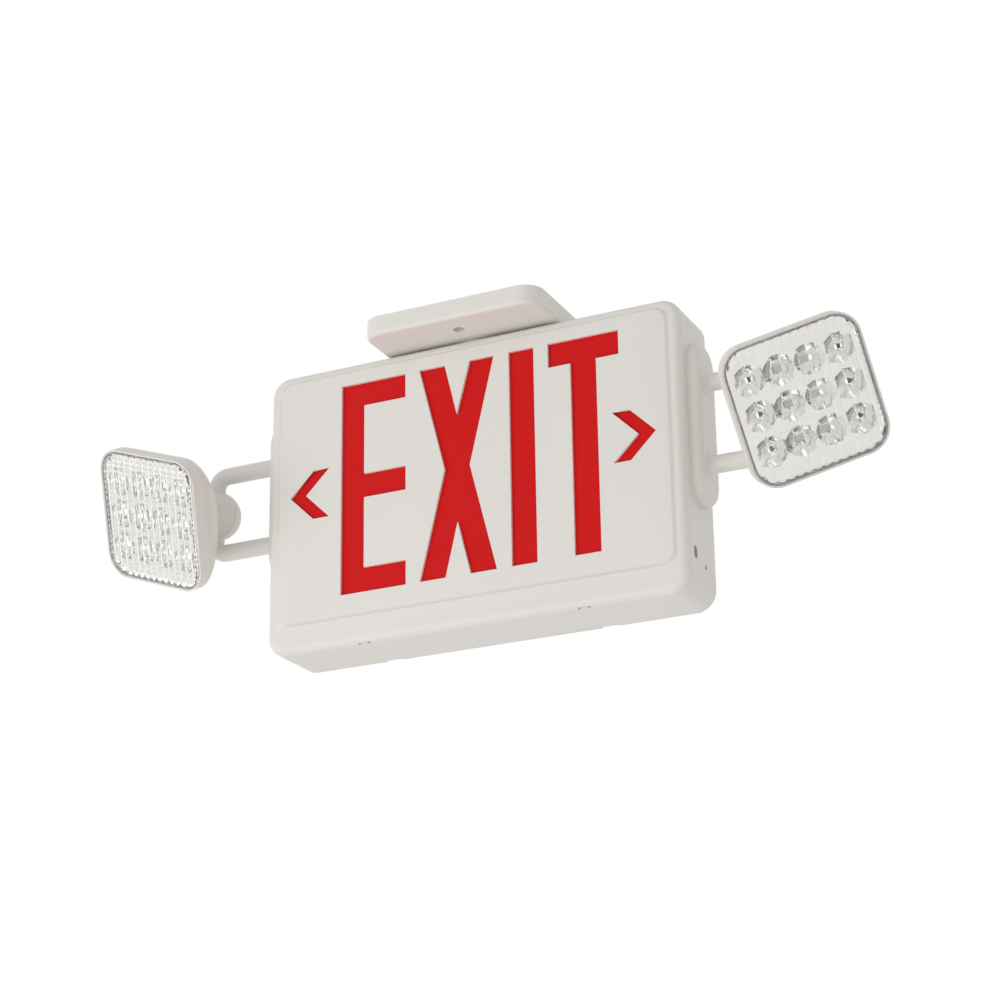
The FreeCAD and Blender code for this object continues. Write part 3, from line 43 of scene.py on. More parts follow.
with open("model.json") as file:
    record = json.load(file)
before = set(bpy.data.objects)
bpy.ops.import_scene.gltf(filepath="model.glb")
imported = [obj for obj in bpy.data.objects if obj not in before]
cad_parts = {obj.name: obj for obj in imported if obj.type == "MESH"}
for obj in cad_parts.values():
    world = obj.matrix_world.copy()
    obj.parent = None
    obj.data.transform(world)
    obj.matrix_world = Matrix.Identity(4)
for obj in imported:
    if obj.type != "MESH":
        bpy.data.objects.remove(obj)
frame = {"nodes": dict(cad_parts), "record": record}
NODES = frame["nodes"]
JOINTS = {joint["name"]: joint for joint in frame["record"]["behaviour"]["joints"]}
SIDES = ("left", "right")

# ---- Fixed sizes shared by several pieces, in metres --------------------------------
FACE_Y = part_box("front_housing")[0].y
LEGEND_MIDDLE_Z = -0.1088
SWIVEL_TO_RIM = 0.040
RIM_STRAIGHT = 0.009
REAR_DEPTH = 0.0415
REAR_ROUNDING = 0.0022
REAR_CORNER_GROWTH = 0.007
RIM_ROUNDING = 0.0005
LENS_SEAT = 0.0014
LENS_LEDGE = 0.0018
LENS_SIDE_GAP = 0.0001
LENS_EDGE = 0.0012
SOCKET_RADIUS = 0.0103
SOCKET_MOUTH = 0.0092
SOCKET_OUTER = 0.0127
SOCKET_REACH = 0.0046
SOCKET_BACK = 0.0007
PLATE_BEHIND_RIM = 0.0032
PLATE_HALF = 0.0430
PLATE_CORNER = 0.0138
PLATE_FLANGE = 0.0008
PLATE_STEP = 0.00002
CUP_LIP = 0.0004

# ---- Mesh densities -----------------------------------------------------------------
CORNER_STEPS = 12
SIDE_STEPS = 6
LIP_STEPS = 4
BOWL_BANDS = 26
INNER_BANDS = 8
REAR_STEPS = 6
SOCKET_STEPS = 4
COLUMNS_PER_FLUTE = 10
LENS_ROWS = 120
CELL_STEPS = 12
CUP_BANDS = 9

# ---- Light and camera ---------------------------------------------------------------
FLOOR_Z = -1.25
FLOOR_REACH = 40.0
OBJECT_MIDDLE = (0.0, 0.0, -0.11)
CAMERA_PLACE = (0.679087, -1.415786, -0.716490)
CAMERA_AIM = (0.012216, 0.0, -0.127261)
CAMERA_ROLL = -0.8953
CAMERA_LENS = 89.753


# ---- Sizes and colours a user would change ------------------------------------------
class LegendSettings(bpy.types.PropertyGroup):
    """Lettering cut through the sign's face."""
    height: FloatProperty(name="Letter height", description="Height of the capital letters",
                          default=0.1524, subtype="DISTANCE", unit="LENGTH")
    cut: FloatProperty(name="Cut depth", description="How far the cutters reach behind the face",
                       default=0.0026, subtype="DISTANCE", unit="LENGTH")


class LampSettings(bpy.types.PropertyGroup):
    """Shape of the two square lamp heads."""
    size: FloatProperty(name="Head size", description="Width and height of the square rim",
                        default=0.093, subtype="DISTANCE", unit="LENGTH")
    corner: FloatProperty(name="Corner radius", description="Rounding of the rim's corners",
                          default=0.0173, subtype="DISTANCE", unit="LENGTH")
    taper: FloatProperty(name="Taper", description="How far each side draws in at the rear",
                         default=0.020, subtype="DISTANCE", unit="LENGTH")
    taper_power: FloatProperty(name="Taper curve", description="Power of the taper's curve", default=1.4)
    rim: FloatProperty(name="Rim width", description="Shell left round the lens",
                       default=0.0013, subtype="DISTANCE", unit="LENGTH")
    wall: FloatProperty(name="Wall", description="Thickness of the shell",
                        default=0.0022, subtype="DISTANCE", unit="LENGTH")


class LensSettings(bpy.types.PropertyGroup):
    """Clear cover with upright flutes."""
    rise: FloatProperty(name="Rise", description="How far the lens stands proud of the rim",
                        default=0.0008, subtype="DISTANCE", unit="LENGTH")
    flutes: IntProperty(name="Flutes", description="Flutes across the lens", default=15)
    flute_depth: FloatProperty(name="Flute depth", description="Height of each flute",
                               default=0.0009, subtype="DISTANCE", unit="LENGTH")
    ribs: IntProperty(name="Inner ribs", description="Cross ribs on the inner face", default=24)
    rib_depth: FloatProperty(name="Rib depth", description="Height of each inner rib",
                             default=0.00030, subtype="DISTANCE", unit="LENGTH")
    wall: FloatProperty(name="Thickness", description="Thickness of the clear cover",
                        default=0.0018, subtype="DISTANCE", unit="LENGTH")


class CupSettings(bpy.types.PropertyGroup):
    """Grid of reflector cups."""
    columns: IntProperty(name="Columns", description="Cups across", default=4)
    rows: IntProperty(name="Rows", description="Cups up and down", default=3)
    pitch_x: FloatProperty(name="Column pitch", description="Spacing across", default=0.0202,
                           subtype="DISTANCE", unit="LENGTH")
    pitch_z: FloatProperty(name="Row pitch", description="Spacing up and down", default=0.0235,
                           subtype="DISTANCE", unit="LENGTH")
    mouth: FloatProperty(name="Mouth radius", description="Radius of each cup's mouth", default=0.0099,
                         subtype="DISTANCE", unit="LENGTH")
    floor: FloatProperty(name="Floor radius", description="Radius of the opening at the bottom",
                         default=0.0032, subtype="DISTANCE", unit="LENGTH")
    depth: FloatProperty(name="Depth", description="Depth of each cup", default=0.0095,
                         subtype="DISTANCE", unit="LENGTH")


class ColourSettings(bpy.types.PropertyGroup):
    """Base colours of the finishes."""
    housing: FloatVectorProperty(name="Housing", description="Moulded housing and lamp shells",
                                 subtype="COLOR", size=3, default=(0.80, 0.775, 0.74))
    legend: FloatVectorProperty(name="Legend", description="Sheet behind the cut-outs",
                                subtype="COLOR", size=3, default=(0.67, 0.008, 0.009))
    lens: FloatVectorProperty(name="Lens", description="Clear lamp cover",
                              subtype="COLOR", size=3, default=(0.995, 0.99, 0.985))
    reflector: FloatVectorProperty(name="Reflector", description="Metallised cups",
                                   subtype="COLOR", size=3, default=(0.94, 0.94, 0.93))


class ExitLightSettings(bpy.types.PropertyGroup):
    """All settings of the exit light."""
    legend: PointerProperty(type=LegendSettings)
    lamp: PointerProperty(type=LampSettings)
    lens: PointerProperty(type=LensSettings)
    cups: PointerProperty(type=CupSettings)
    colours: PointerProperty(type=ColourSettings)


# ---- Shader expressions -------------------------------------------------------------
class Link:
    """An output socket that takes part in arithmetic."""

    def __init__(self, shader, socket):
        self.shader = shader
        self.socket = socket

    def math(self, operation, first, second):
        return self.shader.add("ShaderNodeMath", {"operation": operation}, {0: first, 1: second})

    def __add__(self, other):
        return self.math("ADD", self, other)

    def __radd__(self, other):
        return self.math("ADD", other, self)

    def __sub__(self, other):
        return self.math("SUBTRACT", self, other)

    def __rsub__(self, other):
        return self.math("SUBTRACT", other, self)

    def __mul__(self, other):
        return self.math("MULTIPLY", self, other)

    def __rmul__(self, other):
        return self.math("MULTIPLY", other, self)


class Shader:
    """Node tree of one material or world."""

    def __init__(self, tree):
        self.tree = tree
        tree.nodes.clear()

    def add(self, kind, settings=None, inputs=None, output=0):
        """Adds a node, applies its settings, feeds its sockets and returns one output."""
        node = self.tree.nodes.new(kind)
        for name, value in (settings or {}).items():
            setattr(node, name, value)
        for name, value in (inputs or {}).items():
            socket = node.inputs[name]
            if isinstance(value, Link):
                self.tree.links.new(value.socket, socket)
            else:
                socket.default_value = value
        return Link(self, node.outputs[output]) if node.outputs else None

    def point(self):
        return self.add("ShaderNodeTexCoord", output="Object")

    def noise(self, scale, detail=2.0, roughness=0.5, vector=None):
        inputs = {"Vector": vector or self.point(), "Scale": scale, "Detail": detail, "Roughness": roughness}
        return self.add("ShaderNodeTexNoise", {}, inputs, "Fac")

    def stretched(self, scale):
        """The surface point, stretched by a scale for each axis."""
        return self.add("ShaderNodeVectorMath", {"operation": "MULTIPLY"}, {0: self.point(), 1: scale})

    def mix(self, factor, first, second):
        """A colour between two colours."""
        return self.add("ShaderNodeMix", {"data_type": "RGBA"}, {0: factor, 6: first, 7: second}, 2)

    def bump(self, height, strength, distance):
        return self.add("ShaderNodeBump", {}, {"Height": height, "Strength": strength, "Distance": distance})

    def surface(self, **inputs):
        """Principled surface whose sockets are named in lower case with underscores."""
        named = {key.replace("_", " ").title().replace("Ior", "IOR"): value for key, value in inputs.items()}
        shader = self.add("ShaderNodeBsdfPrincipled", {}, named)
        self.add("ShaderNodeOutputMaterial", {}, {"Surface": shader})


def shade(colour, level):
    """A colour made lighter or darker, with full alpha."""
    return tuple(min(1.0, channel * level) for channel in colour) + (1.0,)


def new_material(name):
    material = bpy.data.materials.new(name)
    material.use_nodes = True
    return material, Shader(material.node_tree)


def moulded(name, colour, roughness=0.42, grain=0.5, cloud=0.03):
    """Fine-grained moulded plastic with faint clouding."""
    material, shader = new_material(name)
    clouds = shader.noise(9.0, 3.0)
    grain_noise = shader.noise(2600.0, 1.0)
    base = shader.mix(clouds, shade(colour, 1.0 - cloud), shade(colour, 1.0 + cloud))
    rough = roughness - 0.05 + clouds * 0.06 + grain_noise * 0.04
    normal = shader.bump(grain_noise, grain, 0.00006)
    shader.surface(base_color=base, roughness=rough, normal=normal, specular_ior_level=0.45)
    return material


def legend_sheet(name, colour):
    """Glossy coloured diffuser."""
    material, shader = new_material(name)
    clouds = shader.noise(14.0, 2.0)
    ripple = shader.noise(300.0, 2.0)
    base = shader.mix(clouds, shade(colour, 0.95), shade(colour, 1.04))
    shader.surface(base_color=base, roughness=0.52 + ripple * 0.08, normal=shader.bump(ripple, 0.2, 0.0001),
                   specular_ior_level=0.12)
    return material


def clear_cover(name, colour):
    """Clear lens plastic."""
    material, shader = new_material(name)
    haze = shader.noise(500.0, 2.0)
    base = shader.mix(haze, shade(colour, 0.985), shade(colour, 1.0))
    shader.surface(base_color=base, roughness=0.02 + haze * 0.03, transmission_weight=1.0, ior=1.49)
    return material


def seen_directly(shader):
    """1 where a surface is seen by the eye, in gloss or through glass, and 0 where it only lights."""
    visible = shader.add("ShaderNodeLightPath", output="Is Camera Ray")
    for kind in ("Is Transmission Ray", "Is Glossy Ray"):
        visible = visible.math("MAXIMUM", visible, shader.add("ShaderNodeLightPath", output=kind))
    return visible


def glowing_floor(name, colour, glow, seen_glow):
    """Pale matt floor that throws soft light upwards."""
    material, shader = new_material(name)
    clouds = shader.noise(3.0, 2.0)
    base = shader.mix(clouds, shade(colour, 0.99), shade(colour, 1.01))
    light = shader.mix(seen_directly(shader), shade(colour, glow), shade(colour, seen_glow))
    shader.surface(base_color=base, roughness=0.7 + clouds * 0.05, emission_color=light,
                   emission_strength=1.0)
    return material


def metal(name, colour, roughness, brushing=(1.0, 1.0, 1.0), scale=400.0, depth=0.3, metallic=1.0):
    """Metal with fine marks, stretched along one axis where it is brushed."""
    material, shader = new_material(name)
    marks = shader.noise(scale, 3.0, 0.6, shader.stretched(brushing))
    base = shader.mix(marks, shade(colour, 0.92), shade(colour, 1.05))
    shader.surface(base_color=base, metallic=metallic, roughness=roughness - 0.04 + marks * 0.08,
                   normal=shader.bump(marks, depth, 0.00003))
    return material


def circuit_board(name, colour):
    """Coated board with faint tracks."""
    material, shader = new_material(name)
    tracks = shader.add("ShaderNodeTexBrick", {"offset": 0.5}, {
        "Vector": shader.stretched((1.0, 0.0, 1.0)), "Scale": 60.0, "Mortar Size": 0.012,
        "Color1": shade(colour, 1.0), "Color2": shade(colour, 1.12), "Mortar": shade(colour, 1.7)})
    shader.surface(base_color=tracks, roughness=0.32 + shader.noise(120.0) * 0.1, coat_weight=0.3)
    return material


def laminated(name, colour):
    """Stack of thin steel plates."""
    material, shader = new_material(name)
    plates = shader.add("ShaderNodeTexWave", {"bands_direction": "Y"}, {
        "Vector": shader.point(), "Scale": 650.0, "Distortion": 0.4}, "Fac")
    base = shader.mix(plates, shade(colour, 0.7), shade(colour, 1.1))
    shader.surface(base_color=base, metallic=0.9, roughness=0.45 + plates * 0.1,
                   normal=shader.bump(plates, 0.4, 0.0001))
    return material


def winding(name, colour):
    """Layers of enamelled wire."""
    material, shader = new_material(name)
    turns = shader.add("ShaderNodeTexWave", {"bands_direction": "Z"}, {
        "Vector": shader.point(), "Scale": 500.0, "Distortion": 0.6}, "Fac")
    base = shader.mix(turns, shade(colour, 0.6), shade(colour, 1.15))
    shader.surface(base_color=base, metallic=0.8, roughness=0.3 + turns * 0.1,
                   normal=shader.bump(turns, 0.6, 0.0002))
    return material


def woven(name, colour):
    """Narrow woven strap."""
    material, shader = new_material(name)
    weave = shader.add("ShaderNodeTexChecker", {}, {
        "Vector": shader.point(), "Scale": 900.0, "Color1": shade(colour, 0.7), "Color2": shade(colour, 1.4)})
    shader.surface(base_color=weave, roughness=0.8 + shader.noise(300.0) * 0.1)
    return material


def material_set(colours):
    """Every finish by the record's slot name."""
    return {
        "housing_white": moulded("moulded_warm_white", colours.housing),
        "diffuser_red": legend_sheet("legend_red_sheet", colours.legend),
        "tray_white": moulded("tray_bright_white", (0.86, 0.86, 0.84), 0.35, 0.2, 0.01),
        "zinc_steel": metal("bright_zinc_plate", (0.62, 0.62, 0.60), 0.34, (1.0, 6.0, 1.0)),
        "board_green": circuit_board("coated_green_board", (0.04, 0.20, 0.09)),
        "board_white": circuit_board("coated_white_board", (0.80, 0.80, 0.78)),
        "led_yellow": moulded("phosphor_yellow", (0.86, 0.85, 0.77), 0.3, 0.2, 0.04),
        "core_steel": laminated("laminated_core", (0.32, 0.33, 0.34)),
        "coil_copper": winding("enamelled_winding", (0.60, 0.28, 0.12)),
        "capacitor_can": moulded("sleeved_can", (0.06, 0.08, 0.14), 0.3, 0.1, 0.05),
        "terminal_grey": moulded("terminal_grey", (0.30, 0.32, 0.33), 0.5),
        "cell_sleeve": moulded("cell_sleeve_green", (0.07, 0.26, 0.15), 0.35, 0.15, 0.06),
        "strap_black": woven("woven_black_strap", (0.04, 0.04, 0.04)),
        "button_grey": moulded("button_warm_grey", (0.24, 0.22, 0.20), 0.5),
        "switch_black": moulded("switch_black", (0.03, 0.03, 0.03), 0.45),
        "light_guide": moulded("status_light_guide", (0.16, 0.11, 0.10), 0.2, 0.1, 0.05),
        "swivel_nylon": moulded("swivel_nylon", (0.72, 0.70, 0.67), 0.5, 0.3),
        "lens_clear": clear_cover("clear_fluted_lens", colours.lens),
        "reflector_silver": metal("metallised_reflector", colours.reflector, 0.12, scale=120.0, depth=0.1,
                                  metallic=0.9),
        "board_aluminium": metal("coated_aluminium_board", (0.80, 0.81, 0.82), 0.4, (8.0, 1.0, 1.0)),
    }


def finish_for(slot_name):
    """The finish of a material slot, made on first use."""
    made = bpy.app.driver_namespace.setdefault("exit_light_finishes", {})
    if not made:
        made.update(material_set(bpy.context.scene.exit_light.colours))
    return made[slot_name]


# ---- Mesh helpers -------------------------------------------------------------------
def smooth_shading(mesh, angle=35.0):
    mesh.shade_smooth()
    mesh.set_sharp_from_angle(angle=math.radians(angle))


def weigh_normals(obj):
    """Keeps flat faces flat where they meet rounded edges."""
    modifier = obj.modifiers.new("flat_faces", "WEIGHTED_NORMAL")
    modifier.keep_sharp = True
    modifier.weight = 100


def make_piece(name, mesh, slot_name, body, *replaced):
    """Adds a finished mesh as a piece of a body."""
    obj = bpy.data.objects.new(name, mesh)
    bpy.context.scene.collection.objects.link(obj)
    mesh.materials.clear()
    mesh.materials.append(finish_for(slot_name))
    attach(obj, body)
    if replaced:
        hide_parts(*replaced)
    return obj


def mesh_from(name, points, faces):
    mesh = bpy.data.meshes.new(name)
    mesh.from_pydata([tuple(point) for point in points], [], faces)
    work = bmesh.new()
    work.from_mesh(mesh)
    bmesh.ops.remove_doubles(work, verts=work.verts, dist=1e-7)
    bmesh.ops.recalc_face_normals(work, faces=work.faces)
    work.to_mesh(mesh)
    work.free()
    return mesh


def rounded_square(half, corner):
    """Points round a square with rounded corners, the same count for every size."""
    reach = half - corner
    points = []
    for turn, (sx, sz) in enumerate(((1, 1), (-1, 1), (-1, -1), (1, -1))):
        for step in range(CORNER_STEPS + 1):
            angle = math.radians(90 * turn + 90 * step / CORNER_STEPS)
            points.append((sx * reach + corner * math.cos(angle), sz * reach + corner * math.sin(angle)))
        next_x, next_z = ((-1, 1), (-1, -1), (1, -1), (1, 1))[turn]
        start = points[-1]
        angle = math.radians(90 * turn + 90)
        end = (next_x * reach + corner * math.cos(angle), next_z * reach + corner * math.sin(angle))
        for step in range(1, SIDE_STEPS):
            share = step / SIDE_STEPS
            points.append((start[0] + (end[0] - start[0]) * share, start[1] + (end[1] - start[1]) * share))
    return points


def bridge(loops, closed=False):
    """Quads between equal rings of points."""
    count = len(loops[0])
    points = [point for loop in loops for point in loop]
    faces = []
    for ring in range(len(loops) if closed else len(loops) - 1):
        below = ring * count
        above = ((ring + 1) % len(loops)) * count
        for index in range(count):
            after = (index + 1) % count
            faces.append((below + index, below + after, above + after, above + index))
    return points, faces


def lamp_frame(side):
    """Matrix of a lamp head: swivel ball at the origin, lens facing -Y, flutes along Z."""
    tilt = JOINTS[f"{side}_tilt"]
    stem = Vector(JOINTS[f"{side}_roll"]["axis"]).normalized()
    if stem.y < 0:
        stem.negate()
    across = Vector(tilt["axis"]).normalized()
    aim = -sum(tilt["range_deg"]) / 2
    back = Matrix.Rotation(math.radians(aim), 3, across) @ stem
    up = across.cross(back)
    matrix = Matrix((across, back, up)).transposed().to_4x4()
    matrix.translation = Vector(tilt["pos_m"])
    return matrix


# ---- Legend -------------------------------------------------------------------------
FULL_CAP_HEIGHT = 152.4
CUTTER_IN_FRONT = 0.001


def letter_outlines():
    """Corners of each letter in millimetres from the legend's middle, at the full cap height."""
    top = FULL_CAP_HEIGHT / 2
    outlines = []
    stroke, arm = 17.8, 17.4
    left, right = -96.0, -46.4
    stem = left + stroke
    outlines.append([
        (left, top), (left, -top), (right, -top), (right, arm - top), (stem, arm - top), (stem, -arm / 2),
        (right, -arm / 2), (right, arm / 2), (stem, arm / 2), (stem, top - arm), (right, top - arm),
        (right, top),
    ])
    centre, waist, waist_z, head, foot = -7.6, 9.4, 0.4, 28.2, 28.4
    inner_left, inner_right, inner_foot = 8.8, 10.0, 9.2
    upper_notch, lower_notch = 37.0, 37.6
    outlines.append([
        (centre - head, top), (centre - inner_left, top), (centre, top - upper_notch),
        (centre + inner_right, top), (centre + head, top), (centre + waist, waist_z), (centre + foot, -top),
        (centre + inner_foot, -top), (centre, lower_notch - top), (centre - inner_foot, -top),
        (centre - foot, -top), (centre - waist, waist_z),
    ])
    left, right = 31.6, 50.0
    outlines.append([(left, -top), (right, -top), (right, top), (left, top)])
    left, right, stem_left, stem_right = 60.4, 111.5, 76.5, 95.2
    outlines.append([
        (left, top), (left, top - arm), (stem_left, top - arm), (stem_left, -top), (stem_right, -top),
        (stem_right, top - arm), (right, top - arm), (right, top),
    ])
    return outlines


def legend_cutter(settings):
    """Prisms that cut the letters through the face."""
    scale = settings.height / FULL_CAP_HEIGHT
    front, back = FACE_Y - CUTTER_IN_FRONT, FACE_Y + settings.cut
    points = []
    faces = []
    for outline in letter_outlines():
        first = len(points)
        count = len(outline)
        for depth in (front, back):
            points += [(x * scale, depth, LEGEND_MIDDLE_Z + z * scale) for x, z in outline]
        faces.append(tuple(range(first, first + count)))
        faces.append(tuple(range(first + count, first + 2 * count)))
        for index in range(count):
            after = (index + 1) % count
            faces.append((first + index, first + after, first + count + after, first + count + index))
    cutter = bpy.data.objects.new("letter_cutter", mesh_from("letter_cutter", points, faces))
    bpy.context.scene.collection.objects.link(cutter)
    return cutter


class EXITLIGHT_OT_sign_face(bpy.types.Operator):
    """Cuts the lettering through the front housing"""
    bl_idname = "exitlight.sign_face"
    bl_label = "Sign Face"

    def execute(self, context):
        cutter = legend_cutter(context.scene.exit_light.legend)
        mesh = NODES["front_housing"].data.copy()
        face = make_piece("sign_housing", mesh, "housing_white", "fixture", "front_housing")
        cut = face.modifiers.new("letters", "BOOLEAN")
        cut.object = cutter
        cut.operation = "DIFFERENCE"
        cut.solver = "EXACT"
        context.view_layer.update()
        carved = bpy.data.meshes.new_from_object(face.evaluated_get(context.evaluated_depsgraph_get()))
        face.modifiers.clear()
        face.data = carved
        bpy.data.objects.remove(cutter)
        smooth_shading(carved)
        weigh_normals(face)
        return {"FINISHED"}


# ---- Lamp shells --------------------------------------------------------------------
def taper_ring(settings, share, inset, end_y):
    """(y, half size, corner) of the bowl at a share of its taper."""
    start = RIM_STRAIGHT - SWIVEL_TO_RIM
    half = settings.size / 2 - settings.taper * share ** settings.taper_power - inset
    corner = settings.corner + REAR_CORNER_GROWTH * share - inset
    return start + (end_y - start) * share, half, corner


def shell_profile(settings):
    """Rings of the shell from its lens seat, round the outside and back inside."""
    half, corner = settings.size / 2, settings.corner
    front = -SWIVEL_TO_RIM
    seat_y = front + LENS_SEAT
    seat = settings.rim
    rings = [(seat_y, half - seat, corner - seat), (front + 0.0002, half - seat, corner - seat)]
    for step in range(LIP_STEPS + 1):
        angle = math.radians(90 * step / LIP_STEPS)
        inset = RIM_ROUNDING * math.cos(angle)
        rings.append((front + RIM_ROUNDING * (1 - math.sin(angle)), half - inset, corner - inset))
    rings.append((front + RIM_STRAIGHT / 2, half, corner))
    end = REAR_DEPTH - SWIVEL_TO_RIM - REAR_ROUNDING
    for band in range(BOWL_BANDS + 1):
        rings.append(taper_ring(settings, band / BOWL_BANDS, 0.0, end))
    _, rear_half, rear_corner = rings[-1]
    for step in range(1, REAR_STEPS + 1):
        angle = math.radians(90 * step / REAR_STEPS)
        draw = 1.6 * REAR_ROUNDING * (1 - math.cos(angle))
        rings.append((end + REAR_ROUNDING * math.sin(angle), rear_half - draw, rear_corner - draw))
    rear_y = end + REAR_ROUNDING
    neck = [(rear_y + 0.0001, 0.0165), (rear_y + 0.0003, SOCKET_OUTER + 0.0012),
            (rear_y + 0.0011, SOCKET_OUTER + 0.0003), (rear_y + 0.0018, SOCKET_OUTER),
            (SOCKET_REACH - 0.0006, SOCKET_OUTER), (SOCKET_REACH - 0.0002, SOCKET_OUTER - 0.0002),
            (SOCKET_REACH, SOCKET_OUTER - 0.0006), (SOCKET_REACH, SOCKET_MOUTH)]
    for step in range(1, SOCKET_STEPS + 1):
        y = SOCKET_REACH * (1 - step / SOCKET_STEPS)
        neck.append((y, math.sqrt(SOCKET_RADIUS ** 2 - y ** 2)))
    neck.append((-SOCKET_BACK, SOCKET_OUTER))
    rings += [(y, radius, radius) for y, radius in neck]
    for band in range(INNER_BANDS, -1, -1):
        rings.append(taper_ring(settings, band / INNER_BANDS, settings.wall, end - settings.wall))
    ledge = settings.rim + LENS_LEDGE
    rings.append((seat_y + 0.0012, half - ledge, corner - ledge))
    rings.append((seat_y, half - ledge, corner - ledge))
    return rings


class EXITLIGHT_OT_lamp_shells(bpy.types.Operator):
    """Builds both lamp bowls with their ball sockets"""
    bl_idname = "exitlight.lamp_shells"
    bl_label = "Lamp Shells"

    def execute(self, context):
        settings = context.scene.exit_light.lamp
        for side in SIDES:
            matrix = lamp_frame(side)
            loops = []
            for y, half, corner in shell_profile(settings):
                loops.append([matrix @ Vector((x, y, z)) for x, z in rounded_square(half, corner)])
            mesh = mesh_from(f"{side}_lamp_bowl", *bridge(loops, closed=True))
            smooth_shading(mesh, 50.0)
            make_piece(f"{side}_lamp_bowl", mesh, "housing_white", f"{side}_lamp", f"{side}_lamp_shell")
        return {"FINISHED"}


# ---- Lenses -------------------------------------------------------------------------
def outline_reach(x, half, corner):
    """Half height of a rounded square at a distance from its middle."""
    past = abs(x) - (half - corner)
    if past <= 0:
        return half
    return half - corner + math.sqrt(max(0.0, corner ** 2 - past ** 2))


def outline_depth(x, z, half, corner):
    """Distance of a point inside a rounded square from its edge."""
    past_x = abs(x) - (half - corner)
    past_z = abs(z) - (half - corner)
    if past_x > 0 and past_z > 0:
        return corner - math.hypot(past_x, past_z)
    return half - max(abs(x), abs(z))


def fluted_sheet(half, corner, columns, rows, depth_at):
    """Grid that fills a rounded square, with its perimeter in order."""
    points = []
    for column in range(columns + 1):
        x = half * (2 * column / columns - 1)
        reach = outline_reach(x, half, corner)
        for row in range(rows + 1):
            z = reach * math.sin(math.pi / 2 * (2 * row / rows - 1))
            points.append(Vector((x, depth_at(x, z), z)))
    faces = []
    stride = rows + 1
    for column in range(columns):
        for row in range(rows):
            corner_index = column * stride + row
            faces.append((corner_index, corner_index + stride, corner_index + stride + 1, corner_index + 1))
    perimeter = [column * stride for column in range(columns)]
    perimeter += [columns * stride + row for row in range(rows)]
    perimeter += [column * stride + rows for column in range(columns, 0, -1)]
    perimeter += list(range(rows, 0, -1))
    return points, faces, perimeter


def lens_mesh(name, lamp, lens, matrix):
    """Clear cover: a fluted outer face, a cross-ribbed inner face and the edge between them."""
    half = lamp.size / 2 - lamp.rim - LENS_SIDE_GAP
    corner = lamp.corner - lamp.rim
    front = -SWIVEL_TO_RIM - lens.rise
    back = -SWIVEL_TO_RIM + LENS_SEAT
    pitch = 2 * half / lens.flutes

    def outside(x, z):
        inside = max(0.0, outline_depth(x, z, half, corner))
        fade = min(1.0, max(0.0, inside / LENS_EDGE - 1))
        rounding = LENS_EDGE * (1 - math.sqrt(max(0.0, 1 - (1 - min(1.0, inside / LENS_EDGE)) ** 2)))
        ridge = math.sqrt(abs(math.cos(math.pi * (x + half) / pitch - math.pi / 2)))
        return front + rounding + lens.flute_depth * (1 - ridge * fade)

    columns = lens.flutes * COLUMNS_PER_FLUTE
    inner_half = half - lens.wall
    inner_corner = corner - lens.wall
    inner_y = front + lens.wall + lens.flute_depth

    def inside_face(x, z):
        return inner_y + lens.rib_depth * abs(math.sin(math.pi * lens.ribs * z / (2 * half)))

    outer, outer_faces, outer_ring = fluted_sheet(half, corner, columns, LENS_ROWS, outside)
    inner, inner_faces, inner_ring = fluted_sheet(inner_half, inner_corner, columns, LENS_ROWS, inside_face)
    points = outer + inner
    offset = len(outer)
    faces = outer_faces + [tuple(reversed([index + offset for index in face])) for face in inner_faces]
    rings = [outer_ring]
    for source, ring in ((outer, outer_ring), (inner, inner_ring)):
        start = len(points)
        points += [Vector((source[index].x, back, source[index].z)) for index in ring]
        rings.append(list(range(start, start + len(ring))))
    rings.append([index + offset for index in inner_ring])
    for first, second in zip(rings, rings[1:]):
        for index in range(len(first)):
            after = (index + 1) % len(first)
            faces.append((first[index], first[after], second[after], second[index]))
    return mesh_from(name, [matrix @ point for point in points], faces)


class EXITLIGHT_OT_lenses(bpy.types.Operator):
    """Builds both clear covers with upright flutes"""
    bl_idname = "exitlight.lenses"
    bl_label = "Lenses"

    def execute(self, context):
        settings = context.scene.exit_light
        for side in SIDES:
            mesh = lens_mesh(f"{side}_fluted_lens", settings.lamp, settings.lens, lamp_frame(side))
            smooth_shading(mesh, 40.0)
            make_piece(f"{side}_fluted_lens", mesh, "lens_clear", f"{side}_lamp", f"{side}_lamp_lens")
        return {"FINISHED"}


# ---- Reflectors ---------------------------------------------------------------------
def cell_edge(angle, half_x, half_z):
    """Point where a ray from a cell's middle meets its rectangle."""
    cosine, sine = math.cos(angle), math.sin(angle)
    reach = min(half_x / max(abs(cosine), 1e-9), half_z / max(abs(sine), 1e-9))
    return reach * cosine, reach * sine


def cell_angles(half_x, half_z, steps):
    """Angles round a cell that include its corners."""
    corner = math.atan2(half_z, half_x)
    marks = [corner, math.pi - corner, math.pi + corner, 2 * math.pi - corner, 2 * math.pi + corner]
    angles = []
    for start, end in zip(marks, marks[1:]):
        for step in range(steps):
            angles.append(start + (end - start) * step / steps)
    return angles


